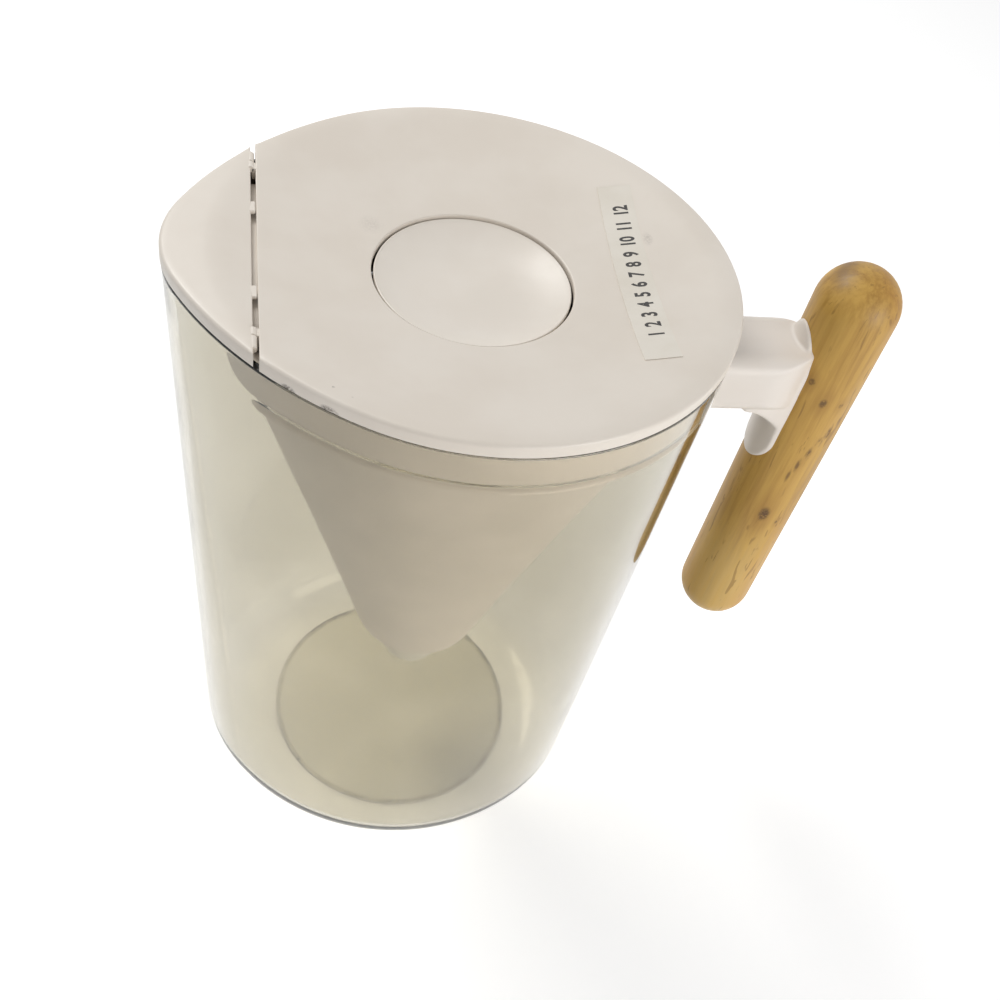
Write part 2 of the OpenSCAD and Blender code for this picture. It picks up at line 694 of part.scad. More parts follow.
lip_in = 4.3;
lip_h = 2.4;
lip_t = 1.2;
lip_back = 8.5;
tab_t = 1.2;
tab_root = 2;
tab_low = 0.2;
lip_root = 0.6;
pin_short = 1;
tab_reach = seam_w - seat_gap;
notch_r = knuckle_r + seat_gap + run_gap;
flap_knuckle_mid = knuckle_y + knuckle_w + seat_gap + flap_knuckle_w / 2;
module front_half(x) translate([-big, -big / 2, 0]) cube([big + x, big, 2 * rim_h]);
module spout_flap() color([0.85, 0.82, 0.78]) difference() {
    union() {
        intersection() {
            rim_slab();
            front_half(hinge_x);
        }
        translate([0, 0, lid_low - lip_h]) linear_extrude(lip_h + lip_root) intersection() {
            difference() {
                polygon(ring(rim_h, lip_in));
                polygon(ring(rim_h, lip_in + lip_t));
            }
            translate([-big, -big / 2]) square([big + hinge_x - lip_back, big]);
        }
        for (s = [-1, 1]) translate([hinge_x - tab_root, s * tab_y - tab_w / 2, lid_low + tab_low])
            cube([tab_root + tab_reach, tab_w, lid_edge - tab_low]);
        on_hinge(knuckle_y + knuckle_w + seat_gap, flap_knuckle_w)
            cylinder(r = knuckle_r, h = flap_knuckle_w);
    }
    difference() {
        dish_ball(0);
        for (s = [-1, 1]) translate([hinge_x, s * flap_knuckle_mid, rim_h])
            cube([2 * knuckle_r, flap_knuckle_w, 2 * rim_h], center = true);
    }
    for (s = [-1, 1]) translate([hinge_x, s * (tab_y - tab_w / 2), 0])
        translate([0, s > 0 ? -1 : -tab_w - 1, 0]) tab_under();
    on_hinge(knuckle_y - seat_gap, knuckle_w + 2 * seat_gap)
        cylinder(r = notch_r, h = knuckle_w + 2 * seat_gap);
    on_hinge(knuckle_y + knuckle_w, flap_knuckle_w + 2 * seat_gap) translate([0, 0, -1])
        cylinder(r = hinge_pin_r + run_gap, h = flap_knuckle_w + 2);
}
// Hollow under a stop tab, so that only a thin tab bridges the seam
module tab_under()
    cube([tab_reach + 1, tab_w + 2, dish_z(norm([hinge_x - dish_x, tab_y])) - tab_t]);
pin_l = knuckle_w + seat_gap + flap_knuckle_w - pin_short;
module flap_hinge_pins() color([0.72, 0.72, 0.74])
    on_hinge(knuckle_y, pin_l) cylinder(r = hinge_pin_r, h = pin_l);

// Fill door

// Height of the door's top at distance r from its middle
function door_z(r) = door_rim - door_dish * (1 - pow(r / door_r, door_power));
door_n = 12;
door_line = [for (k = [0:door_n]) let (r = door_r * (1 - pow(1 - k / door_n, 1.4))) [r, door_z(r)]];
// Room over the door's top, lowered by d
module door_room(d) translate([dish_x, 0, -d]) rotate_extrude()
    polygon(concat(door_line, [[door_r, rim_h], [0, rim_h]]));
module door_disc() translate([dish_x, 0, 0]) rotate_extrude()
    polygon(concat(door_line, [for (k = [door_n:-1:0]) door_line[k] - [0, door_t]]));
door_boss_l = 4;
door_boss_x = door_r - 1.2;
door_bore_l = 2.4;
skin = 0.3;
module fill_door() color([0.90, 0.88, 0.84]) difference() {
    union() {
        door_disc();
        difference() {
            intersection() {
                union() {
                    for (s = [-1, 1])
                        translate([dish_x + s * (door_boss_x - door_boss_l / 2), door_axis_y, 0])
                            door_boss();
                    weight_tray();
                }
                translate([dish_x, 0, 0]) cylinder(r = door_r, h = door_rim - skin);
            }
            door_room(skin);
        }
    }
    for (s = [-1, 1])
        translate([dish_x + s * door_boss_x, door_axis_y, door_axis_z]) rotate([0, 90, 0])
            cylinder(r = door_pin_r + run_gap, h = 2 * door_bore_l, center = true);
    translate([dish_x, weight_y, weight_z]) rotate([0, 90, 0])
        cylinder(r = weight_r + eps, h = weight_l + 2 * eps, center = true);
}
module door_boss() translate([-door_boss_l / 2, 0, 0]) {
    translate([0, 0, door_axis_z]) rotate([0, 90, 0]) cylinder(r = boss_r, h = door_boss_l);
    translate([0, -boss_r, door_axis_z]) cube([door_boss_l, 2 * boss_r, 3]);
}
weight_y = 17;
weight_z = door_z(weight_y - weight_r / 2) - door_t - weight_r - eps;
tray_t = 1;
module weight_tray()
    translate([dish_x - weight_l / 2 - tray_t, weight_y - weight_r - tray_t, weight_z])
        cube([weight_l + 2 * tray_t, 2 * (weight_r + tray_t), door_rim - weight_z]);
module door_pivot_pins() color([0.72, 0.72, 0.74]) for (s = [-1, 1])
    translate([dish_x + s * (door_boss_x - door_bore_l + skin), door_axis_y, door_axis_z])
        rotate([0, s * 90, 0])
            cylinder(r = door_pin_r, h = boss_x + boss_l - door_boss_x + door_bore_l - 2 * skin);
module door_counterweight() color([0.6, 0.6, 0.62]) translate([dish_x, weight_y, weight_z])
    rotate([0, 90, 0]) cylinder(r = weight_r, h = weight_l, center = true);

pitcher_body();
base_pad();
handle_bracket();
bracket_gasket();
bracket_bolts();
bolt_seals();
handle_grip();
grip_inserts();
reservoir();
filter_shell();
filter_cap();
filter_carbon();
filter_mesh_top();
filter_mesh_bottom();
filter_seal();
lid_plate();
lid_underplate();
label_strip();
spout_flap();
flap_hinge_pins();
fill_door();
door_pivot_pins();
door_counterweight();
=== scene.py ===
import math

import bmesh
import bpy
from mathutils import Matrix, Vector


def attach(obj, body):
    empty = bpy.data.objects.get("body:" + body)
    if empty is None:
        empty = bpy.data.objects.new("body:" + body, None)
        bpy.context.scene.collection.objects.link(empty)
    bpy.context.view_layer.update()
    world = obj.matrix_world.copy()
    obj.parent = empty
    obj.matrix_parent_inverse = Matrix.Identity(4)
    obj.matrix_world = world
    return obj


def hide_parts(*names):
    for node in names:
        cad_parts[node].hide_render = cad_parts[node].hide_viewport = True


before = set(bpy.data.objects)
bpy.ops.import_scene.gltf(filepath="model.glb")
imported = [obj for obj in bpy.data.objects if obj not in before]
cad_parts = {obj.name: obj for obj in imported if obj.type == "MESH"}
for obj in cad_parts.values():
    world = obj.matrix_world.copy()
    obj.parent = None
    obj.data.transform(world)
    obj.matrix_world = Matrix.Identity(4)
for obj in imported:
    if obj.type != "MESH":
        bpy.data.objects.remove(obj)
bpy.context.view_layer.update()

MM = 0.001

# Sizes in mm, as in the part's source
RIM_H, WALL, FLOOR_T, FOOT_GAP, BASE_FILLET = 247.0, 2.6, 3.5, 1.0, 20.0
RIM = (79.8, 76.7, 78.8, 118.0, 38.0, 58.0, 120.0)
BASE = (75.7, 67.1, 86.4, 80.2, 63.6, 60.0, 103.0)
PAD_R, PAD_T, SEAT_GAP, LIFT_GAP = 50.0, 2.0, 0.3, 0.4
LID_EDGE, DISH_DEPTH, RIM_FLAT, DISH_X, PLATE_T = 4.5, 11.0, 3.0, 0.7, 2.4
HOLE_R, LID_ROUND = 30.2, 1.25
FLAP_L, SEAM_W, SHELF_T, SHELF_IN = 26.2, 1.5, 0.8, 14.0
TANK_FRONT, CORNER_W = 69.5, 10.0
COLLAR_H, COLLAR_T, COLLAR_STEP, TANK_WALL, COLLAR_ROOT = 12.5, 2.0, 4.4, 2.0, 2.2
NOSE_Z, NOSE_R, NOSE_X, SOCKET_H, SOCKET_WALL, CART_R = 72.0, 23.0, 3.0, 23.0, 2.2, 17.8
ROD_X, ROD_R, ROD_L = 126.9, 14.15, 173.6
ARM_W, ARM_H, ARM_ROUND, ARM_DROP, MOUNT_T = 28.0, 22.5, 6.0, 28.5, 2.4
SADDLE_RISE, SADDLE_L, SADDLE_HW, UPPER_LONG, LOWER_LONG = 7.0, 60.0, 9.2, 2.0, 1.3
DOOR_GAP, DOOR_DISH, DOOR_POWER, DOOR_T, DOOR_DROP = 0.7, 5.5, 3.0, 1.8, 0.8
DOOR_AXIS_Y, DOOR_PIN_R = 4.9, 1.0
STRIP_L, STRIP_W, STRIP_T, STRIP_X, STRIP_Y, STRIP_TURN = 80.5, 10.5, 0.25, 49.5, 0.5, -2.0
KNUCKLE_R, KNUCKLE_IN, KNUCKLE_W, FLAP_KNUCKLE_W = 1.1, 12.2, 3.0, 4.6
TAB_Y, TAB_W, TAB_T, LIP_IN, LIP_H, LIP_T, LIP_BACK = 18.9, 4.6, 1.2, 4.3, 2.4, 1.2, 8.5

LID_LOW = RIM_H - LID_EDGE
BODY_TOP = LID_LOW - SEAT_GAP
COLLAR_LOW = BODY_TOP - COLLAR_H
LEDGE_Z = COLLAR_LOW - SEAT_GAP
FLOOR_Z = FOOT_GAP + FLOOR_T
COLLAR_IN = WALL + LIFT_GAP
TANK_IN = COLLAR_IN + COLLAR_STEP
HINGE_Z = RIM_H - KNUCKLE_R

# Steps along each arc of a plan, and how far the drawn plan stays inside the part's own
ARC_N = (30, 34, 34, 30)
INSET = 0.07
# Angles, in degrees, past which an edge is drawn sharp
SHARP, SHARP_SOFT = 38, 50


# Plans

def tip_angle(p):
    """Angle at which the plan's third arc meets the tip's arc."""
    s1, s2 = math.sin(math.radians(p[5])), math.sin(math.radians(p[6]))
    return 180 - math.degrees(math.asin(-((p[1] - p[2]) * s1 + (p[2] - p[3]) * s2) / (p[3] - p[4])))


def arc_centres(p):
    """Centres of the plan's four arcs, each tangent to the one before."""
    ends = [0, p[5], p[6], tip_angle(p), 180]
    centres = [(p[0] - p[1], 0.0)]
    for k in (1, 2, 3):
        a = math.radians(ends[k])
        x, y = centres[-1]
        centres.append((x + (p[k] - p[k + 1]) * math.cos(a), y + (p[k] - p[k + 1]) * math.sin(a)))
    return ends, centres


def half_plan(p, d):
    """The plan's upper half from the back to the tip, moved in by d."""
    d += INSET
    ends, centres = arc_centres(p)
    pts = []
    for k in range(4):
        cx, cy = centres[k]
        for j in range(0 if k == 0 else 1, ARC_N[k] + 1):
            a = math.radians(ends[k] + (ends[k + 1] - ends[k]) * j / ARC_N[k])
            pts.append((cx + (p[k + 1] - d) * math.cos(a), cy + (p[k + 1] - d) * math.sin(a)))
    return pts


rim_centres = arc_centres(RIM)[1]
SEAM_X = RIM[4] - rim_centres[3][0] - FLAP_L
HINGE_X = -SEAM_X - SEAM_W
DISH_R = rim_centres[1][1] + RIM[2] - RIM_FLAT
BIG_R = (DISH_R ** 2 + DISH_DEPTH ** 2) / (2 * DISH_DEPTH)
DISH_CZ = RIM_H - DISH_DEPTH + BIG_R


def whole(half):
    return half + [(x, -y) for x, y in half[-2:0:-1]]


def wall_ring(z, d):
    """The jug's plan at height z, moved in by d."""
    f = z / RIM_H
    a, b = half_plan(BASE, d), half_plan(RIM, d)
    return whole([(p[0] * (1 - f) + q[0] * f, p[1] * (1 - f) + q[1] * f) for p, q in zip(a, b)])


def soft_front(x, lo, w):
    """x, held at lo or more by a bend that is soft over w on each side."""
    if x - lo > w:
        return x
    if x - lo < -w:
        return lo
    return lo + (x - lo + w) ** 2 / (4 * w)


def tank_ring(z, d, e):
    """The jug's plan moved in by d, with the tank's flat front moved back by e."""
    return [(soft_front(x, -TANK_FRONT + e, CORNER_W), y) for x, y in wall_ring(z, d)]


def at(pts, z):
    return [(x, y, z) for x, y in pts]


def dish_z(r):
    """Height of the lid's dish at radius r."""
    return DISH_CZ - math.sqrt(BIG_R ** 2 - r * r)


def under_z(r):
    """Height of the underside of the dish at radius r."""
    return DISH_CZ - math.sqrt((BIG_R + PLATE_T) ** 2 - r * r)


def lid_top_z(x, y):
    """The dish, turning softly into the flat rim."""
    w = 1.0
    over = dish_z(math.hypot(x - DISH_X, y)) - RIM_H
    if over < -w:
        return RIM_H + over
    if over > w:
        return RIM_H
    return RIM_H - (w - over) ** 2 / (4 * w)


def circle(cx, r, z, angles):
    return [(cx + r * math.cos(a), r * math.sin(a), z) for a in angles]


def quarter(steps):
    """Angles from 0 to 90 degrees."""
    return [math.pi / 2 * k / steps for k in range(steps + 1)]


def part_way(ps, qs, t):
    """Points the share t of the way from ps to qs."""
    return [(p[0] + (q[0] - p[0]) * t, p[1] + (q[1] - p[1]) * t) for p, q in zip(ps, qs)]


def flat(ring):
    """The ring's points without their heights."""
    return [(x, y) for x, y, _ in ring]


# Meshes

def shade(data, sharp):
    data.polygons.foreach_set("use_smooth", [True] * len(data.polygons))
    data.set_sharp_from_angle(angle=math.radians(sharp))


def mesh(name, verts, faces, sharp=SHARP):
    """A linked object from vertices in mm and faces."""
    me = bpy.data.meshes.new(name)
    me.from_pydata([(x * MM, y * MM, z * MM) for x, y, z in verts], [], faces)
    me.validate()
    bm = bmesh.new()
    bm.from_mesh(me)
    bmesh.ops.recalc_face_normals(bm, faces=bm.faces)
    bm.to_mesh(me)
    bm.free()
    shade(me, sharp)
    o = bpy.data.objects.new(name, me)
    bpy.context.scene.collection.objects.link(o)
    return o


def stack(rings, closed=False):
    """Vertices and faces through rings of equal length: a closed loop of rings, or a tube with flat ends."""
    n, m = len(rings[0]), len(rings)
    verts = [p for r in rings for p in r]
    faces = []
    for k in range(m if closed else m - 1):
        a, b = k * n, ((k + 1) % m) * n
        faces += [(a + i, a + (i + 1) % n, b + (i + 1) % n, b + i) for i in range(n)]
    if not closed:
        faces.append(tuple(range(n))[::-1])
        faces.append(tuple(range((m - 1) * n, m * n)))
    return verts, faces


def merged(*parts):
    """One mesh's vertices and faces from several."""
    verts, faces = [], []
    for v, f in parts:
        k = len(verts)
        verts += v
        faces += [tuple(i + k for i in q) for q in f]
    return verts, faces


def revolve(profile, cx, n):
    """Turns (radius, z) points in n steps about the upright axis at cx."""
    angles = [2 * math.pi * i / n for i in range(n)]
    return stack([circle(cx, r, z, angles) for r, z in profile])


BAR_N = 40


def bar(axis_from, axis_to, r, edge):
    """A round bar with broken edges, as vertices and faces."""
    p, q = Vector(axis_from), Vector(axis_to)
    d = (q - p).normalized()
    side = d.orthogonal().normalized()
    up = d.cross(side)
    length = (q - p).length
    rings = []
    for s, rad in ((0, r - edge), (edge, r), (length - edge, r), (length, r - edge)):
        c = p + d * s
        rings.append([tuple(c + side * rad * math.cos(t) + up * rad * math.sin(t))
                      for t in [2 * math.pi * i / BAR_N for i in range(BAR_N)]])
    return stack(rings)


def block(lo, hi, edge):
    """A box with rounded corners and broken edges, as vertices and faces."""
    (x0, y0, z0), (x1, y1, z1) = lo, hi

    def rect(z, e):
        out = []
        for cx, cy, a0 in ((x1, y1, 0), (x0, y1, 90), (x0, y0, 180), (x1, y0, 270)):
            sx, sy = (-1 if cx == x1 else 1), (-1 if cy == y1 else 1)
            for a in (0, 30, 60, 90):
                t = math.radians(a0 + a)
                out.append((cx + sx * (edge + e) + edge * math.cos(t),
                            cy + sy * (edge + e) + edge * math.sin(t), z))
        return out

    return stack([rect(z0, edge * 0.7), rect(z0 + edge, 0), rect(z1 - edge, 0), rect(z1, edge * 0.7)])


def rounded(w, h, r):
    """Outline of a rounded rectangle about the origin."""
    n = 8
    pts = []
    for sx, sy, a0 in ((1, 1, 0), (-1, 1, 90), (-1, -1, 180), (1, -1, 270)):
        for k in range(n + 1):
            t = math.radians(a0 + 90 * k / n)
            pts.append((sx * (w / 2 - r) + r * math.cos(t), sy * (h / 2 - r) + r * math.sin(t)))
    return pts


def cut(target, tool, operation):
    """Joins or cuts target with tool, and deletes tool."""
    m = target.modifiers.new("cut", "BOOLEAN")
    m.operation = operation
    m.object = tool
    m.solver = "EXACT"
    applied(target)
    bpy.data.objects.remove(tool)


def applied(o):
    """Bakes the object's modifiers into its mesh."""
    deps = bpy.context.evaluated_depsgraph_get()
    me = bpy.data.meshes.new_from_object(o.evaluated_get(deps))
    o.modifiers.clear()
    old = o.data
    o.data = me
    bpy.data.meshes.remove(old)


def dress(o, mat, body, slot, *nodes):
    """Gives a piece its material and its body, and hides the CAD nodes that it stands for; the slot is not used.
    """
    o.data.materials.clear()
    o.data.materials.append(mat)
    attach(o, body)
    if nodes:
        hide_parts(*nodes)


# Materials

class Look:
    """A Principled material whose colour, roughness and bump come from nodes."""

    def __init__(self, name, **values):
        self.mat = bpy.data.materials.new(name)
        self.mat.use_nodes = True
        self.nt = self.mat.node_tree
        self.bsdf = self.nt.nodes["Principled BSDF"]
        for key, v in values.items():
            self.bsdf.inputs[key.replace("_", " ")].default_value = v
        self.coord = self.nt.nodes.new("ShaderNodeTexCoord").outputs["Object"]

    def node(self, kind, **inputs):
        n = self.nt.nodes.new(kind)
        for key, v in inputs.items():
            self.put(n.inputs[key.replace("_", " ")], v)
        return n

    def put(self, socket, v):
        if isinstance(v, bpy.types.NodeSocket):
            self.nt.links.new(v, socket)
        else:
            socket.default_value = v

    def math(self, op, a, b=0.0, c=0.0, clamp=False):
        n = self.nt.nodes.new("ShaderNodeMath")
        n.operation = op
        n.use_clamp = clamp
        for i, v in enumerate((a, b, c)):
            self.put(n.inputs[i], v)
        return n.outputs[0]

    def vec(self, op, a, b=(0, 0, 0)):
        n = self.nt.nodes.new("ShaderNodeVectorMath")
        n.operation = op
        self.put(n.inputs[0], a)
        self.put(n.inputs[1], b)
        return n.outputs["Value" if op in ("LENGTH", "DISTANCE", "DOT_PRODUCT") else "Vector"]

    def noise(self, scale, detail=3.0, rough=0.5, stretch=(1, 1, 1), distortion=0.0):
        v = self.coord
        if stretch != (1, 1, 1):
            v = self.vec("MULTIPLY", v, stretch)
        n = self.node("ShaderNodeTexNoise", Vector=v, Scale=scale, Detail=detail, Roughness=rough,
                      Distortion=distortion)
        return n.outputs["Fac"]

    def span(self, value, lo, hi, out_lo=0.0, out_hi=1.0):
        """out_lo to out_hi while value goes from lo to hi, with soft ends."""
        n = self.nt.nodes.new("ShaderNodeMapRange")
        n.interpolation_type = "SMOOTHSTEP"
        for i, v in enumerate((value, lo, hi, out_lo, out_hi)):
            self.put(n.inputs[i], v)
        return n.outputs[0]

    def mix(self, fac, a, b):
        n = self.nt.nodes.new("ShaderNodeMix")
        n.data_type = "RGBA"
        self.put(n.inputs[0], fac)
        self.put(n.inputs[6], a)
        self.put(n.inputs[7], b)
        return n.outputs[2]

    def spot(self, place, r0, r1, stretch=(1, 1, 1)):
        """1 inside r0 mm of place, 0 outside r1 mm, with each axis scaled by stretch first."""
        v = self.vec("SUBTRACT", self.coord, tuple(Vector(place) * MM))
        v = self.vec("MULTIPLY", v, stretch)
        return self.span(self.vec("LENGTH", v), r0 * MM, r1 * MM, 1.0, 0.0)

    def cloudy(self, noise, dark, pale, lo=0.3, hi=0.7):
        """A colour that drifts from dark to pale with the noise."""
        return self.mix(self.span(noise, lo, hi), srgb(*dark), srgb(*pale))

    def stain(self, colour, mask, strength, tone):
        """The colour with a tone laid over it where mask is 1."""
        return self.mix(self.math("MULTIPLY", mask, strength), colour, srgb(*tone))

    def bump(self, height, strength, distance):
        n = self.node("ShaderNodeBump", Height=height, Strength=strength, Distance=distance)
        self.nt.links.new(n.outputs[0], self.bsdf.inputs["Normal"])

    def set(self, socket, v):
        self.put(self.bsdf.inputs[socket], v)


def srgb(*colour):
    """Linear colour of an sRGB one, given as 0 to 255."""
    def lin(c):
        c /= 255
        return c / 12.92 if c <= 0.04045 else ((c + 0.055) / 1.055) ** 2.4
    return (*[lin(c) for c in colour], 1.0)


GRIME = (70, 58, 45)


def satin(name, pale, dark, rough, spots=()):
    """Moulded plastic: cloudy colour, faint grain, uneven gloss, and small marks at given places."""
    k = Look(name, Roughness=rough)
    colour = k.cloudy(k.noise(28.0, 4.0, 0.55), dark, pale, 0.35, 0.68)
    fine = k.noise(1400.0, 2.0)
    for place, r0, r1, stretch, strength in spots:
        mark = k.spot(place, r0, r1, stretch)
        ragged = k.math("MULTIPLY", mark, k.span(k.noise(1500.0, 3.0, 0.7), 0.3, 0.62), clamp=True)
        colour = k.stain(colour, ragged, strength, GRIME)
    k.set("Base Color", colour)
    k.set("Roughness", k.span(k.noise(60.0, 5.0, 0.6), 0.3, 0.7, rough - 0.05, rough + 0.07))
    k.bump(fine, 0.12, 0.00006)
    return k.mat


# Marks on the lid: place, inner and outer radius in mm, stretch of the axes, strength
LID_MARKS = (
    ((-54.9, -54.0, 242.4), 0.9, 2.1, (0.55, 0.8, 1.0), 1.0),
    ((-45.6, -61.8, 242.5), 1.0, 2.3, (0.55, 0.8, 1.0), 1.0),
    ((-43.9, -56.5, 246.6), 0.25, 0.6, (1, 1, 1), 0.6),
    ((-39.4, -60.0, 246.8), 0.25, 0.6, (1, 1, 1), 0.6),
    ((57.1, 16.0, 242.8), 0.6, 3.2, (1.6, 0.8, 1.0), 0.22),
    ((-28.0, 22.0, 238.5), 0.5, 5.0, (1, 1, 1.0), 0.12),
)
lid_mat = satin("lid_plastic", (229, 221, 210), (224, 215, 203), 0.36, spots=LID_MARKS)
door_mat = satin("door_plastic", (233, 226, 216), (229, 221, 210), 0.34)
arm_mat = satin("arm_plastic", (232, 225, 217), (228, 220, 211), 0.36)
tank_mat = satin("tank_plastic", (228, 219, 211), (220, 211, 202), 0.42)
cart_mat = satin("cartridge_plastic", (226, 223, 215), (219, 215, 206), 0.45)


def clear_to_lamps(k, tint):
    """Lets the lamps' light straight through, dimmed by tint at each face."""
    through = k.node("ShaderNodeBsdfTransparent", Color=tint)
    path = k.nt.nodes.new("ShaderNodeLightPath")
    both = k.node("ShaderNodeMixShader")
    k.nt.links.new(path.outputs["Is Shadow Ray"], both.inputs[0])
    k.nt.links.new(k.bsdf.outputs[0], both.inputs[1])
    k.nt.links.new(through.outputs[0], both.inputs[2])
    k.nt.links.new(both.outputs[0], k.nt.nodes["Material Output"].inputs["Surface"])


def clear_plastic():
    k = Look("clear_plastic", Roughness=0.035, IOR=1.49, Transmission_Weight=1.0)
    k.set("Base Color", k.cloudy(k.noise(14.0, 3.0), (208, 204, 191), (215, 211, 199), 0.35))
    k.set("Roughness", k.span(k.noise(45.0, 5.0, 0.6), 0.35, 0.75, 0.02, 0.075))
    clear_to_lamps(k, (0.95, 0.95, 0.935, 1))
    return k.mat


def foot_pad():
    """Pale frosted disc with a ring of grime near its edge."""
    k = Look("foot_pad", Roughness=0.3)
    r = k.vec("LENGTH", k.vec("MULTIPLY", k.coord, (1, 1, 0)))
    worn = k.span(k.noise(90.0, 4.0, 0.6), 0.34, 0.6, 0.35, 1.0)
    grime = k.math("MULTIPLY", k.span(r, (PAD_R - 2.2) * MM, (PAD_R - 1.0) * MM), worn)
    specks = k.math("MULTIPLY", grime, k.span(k.noise(420.0, 2.0), 0.62, 0.7))
    body = k.cloudy(k.noise(40.0, 4.0), (246, 244, 232), (252, 250, 240), 0.35)
    colour = k.stain(body, grime, 0.8, (168, 162, 140))
    k.set("Base Color", k.mix(specks, colour, srgb(84, 78, 64)))
    k.bump(k.noise(700.0, 3.0), 0.1, 0.0001)
    return k.mat


# Knots in the rod: place, inner and outer radius in mm, squeeze along the grain, strength
KNOTS = (
    ((123.0, -13.6, 144.7), 0.9, 2.6, 0.55, 0.9),
    ((117.4, -10.5, 208.9), 0.6, 1.5, 0.8, 0.7),
    ((123.2, -13.7, 202.0), 0.6, 1.8, 0.7, 0.75),
    ((130.0, -13.8, 201.4), 0.4, 1.2, 0.8, 0.6),
    ((129.4, -13.9, 140.4), 0.3, 0.9, 0.7, 0.6),
)

# The dark streak down the rod, given as the knots are
STREAKS = (
    ((130.9, -13.6, 187.5), 0.4, 1.6, 0.35, 0.9),
    ((129.3, -13.9, 183.0), 0.5, 1.8, 0.4, 0.9),
    ((127.4, -14.1, 177.5), 0.4, 1.5, 0.3, 0.85),
    ((125.6, -14.0, 172.0), 0.3, 1.2, 0.25, 0.8),
    ((124.2, -13.9, 166.5), 0.2, 1.0, 0.22, 0.7),
    ((133.2, -12.6, 193.0), 0.2, 1.0, 0.3, 0.6),
    ((136.0, -10.8, 150.0), 0.6, 3.0, 0.25, 0.35),
)


def wood():
    """Oiled wood with its grain upright, paler low down, with knots, a dark streak, and painted shade on the
    far-left edge of its top end.
    """
    k = Look("wood", Roughness=0.46)
    warp = k.noise(22.0, 3.0, stretch=(1, 1, 0.3))
    wide = k.noise(85.0, 4.0, 0.6, stretch=(1, 1, 0.09), distortion=1.2)
    fine = k.noise(620.0, 5.0, 0.65, stretch=(1, 1, 0.05))
    flecks = k.noise(430.0, 2.0, 0.5, stretch=(1, 1, 0.14), distortion=0.8)
    height = k.vec("DOT_PRODUCT", k.coord, (0, 0, 1))
    colour = k.cloudy(wide, (156, 114, 44), (194, 152, 72))
    colour = k.mix(k.span(height, 0.105, 0.150, 0.5, 0.0), colour, srgb(228, 196, 124))
    colour = k.mix(k.span(fine, 0.36, 0.66, 0.0, 0.45), colour, srgb(208, 168, 86))
    colour = k.mix(k.span(warp, 0.45, 0.68, 0.0, 0.55), colour, srgb(188, 130, 42))
    colour = k.mix(k.span(flecks, 0.63, 0.7, 0.0, 0.5), colour, srgb(122, 84, 34))
    # Painted shade: the rim of the top end is darkened in patches on its far-left side only
    side = k.vec("DOT_PRODUCT", k.vec("SUBTRACT", k.coord, (ROD_X * MM, 0, 0)), (-0.75, 0.66, 0))
    cap_shade = k.math("MULTIPLY", k.span(height, 0.2400, 0.2450), k.span(side, 0.002, 0.011))
    colour = k.mix(k.math("MULTIPLY", cap_shade, k.span(k.noise(60.0, 3.0), 0.25, 0.6)), colour, srgb(104, 74, 38))
    for place, r0, r1, squeeze, strength in KNOTS:
        halo = k.spot(place, r0, r1 * 2.4, (1, 1, squeeze * 0.6))
        colour = k.stain(colour, halo, 0.45 * strength, (138, 94, 36))
        core = k.spot(place, r0, r1, (1, 1, squeeze))
        ragged = k.math("MULTIPLY", core, k.span(k.noise(700.0, 3.0, 0.7), 0.28, 0.55), clamp=True)
        colour = k.stain(colour, ragged, strength, (74, 46, 18))
    for place, r0, r1, squeeze, strength in STREAKS:
        line = k.spot(place, r0, r1, (1, 1, squeeze))
        torn = k.span(k.noise(260.0, 4.0, 0.7, stretch=(1, 1, 0.4)), 0.36, 0.58)
        colour = k.stain(colour, k.math("MULTIPLY", line, torn), strength, (92, 58, 20))
    k.set("Base Color", colour)
    k.set("Roughness", k.span(fine, 0.3, 0.7, 0.4, 0.55))
    k.bump(k.math("ADD", fine, k.math("MULTIPLY", flecks, -0.6)), 0.25, 0.00012)
    return k.mat


def metal(name, colour):
    k = Look(name, Metallic=1.0, Roughness=0.32)
    k.set("Base Color", k.cloudy(k.noise(300.0, 3.0), [c - 12 for c in colour], colour))
    k.bump(k.noise(2600.0, 2.0, stretch=(0.1, 1, 1)), 0.1, 0.00003)
    return k.mat


def rubber():
    k = Look("grey_rubber", Roughness=0.62)
    k.set("Base Color", k.cloudy(k.noise(260.0, 4.0), (96, 95, 92), (104, 103, 100)))
    k.bump(k.noise(1800.0, 2.0), 0.2, 0.00005)
    return k.mat


def granules():
    k = Look("granules", Roughness=0.8)
    cell = k.node("ShaderNodeTexVoronoi", Vector=k.coord, Scale=900.0)
    k.set("Base Color", k.mix(cell.outputs["Distance"], srgb(58, 58, 60), srgb(18, 18, 20)))
    k.bump(cell.outputs["Distance"], 0.8, 0.0006)
    return k.mat


def tape():
    k = Look("tape", Roughness=0.4)
    k.set("Base Color", k.cloudy(k.noise(55.0, 4.0, 0.6), (222, 215, 202), (229, 223, 212)))
    k.bump(k.noise(240.0, 3.0, stretch=(1, 0.2, 1)), 0.18, 0.00008)
    return k.mat


def ink():
    k = Look("ink", Roughness=0.5)
    k.set("Base Color", k.mix(k.noise(900.0, 2.0), srgb(30, 27, 25), srgb(44, 40, 37)))
    return k.mat


clear_mat, pad_mat, wood_mat = clear_plastic(), foot_pad(), wood()
steel_mat, brass_mat = metal("steel", (188, 188, 190)), metal("brass", (196, 164, 96))
rubber_mat = rubber()
granule_mat, tape_mat, ink_mat = granules(), tape(), ink()
mesh_mat = satin("screen", (205, 205, 202), (196, 196, 193), 0.5)

# Jug

# Rounding of the jug's rim
RIM_ROUND = 0.8
# A ring this close to a bend keeps the shading of the tall wall faces even
EVEN = 0.5
# Steps up the wall and round each of its fillets
WALL_N, FILLET_N, ROUND_N = 8, 12, 4
# The ledge: height above it, and share of its width
LEDGE_PROFILE = ((0.3, 0.0), (0.0, 0.15), (-0.02, 0.85), (-0.3, 1.0), (-1.4, 0.45), (-2.6, 0.0), (-3.2, 0.0))
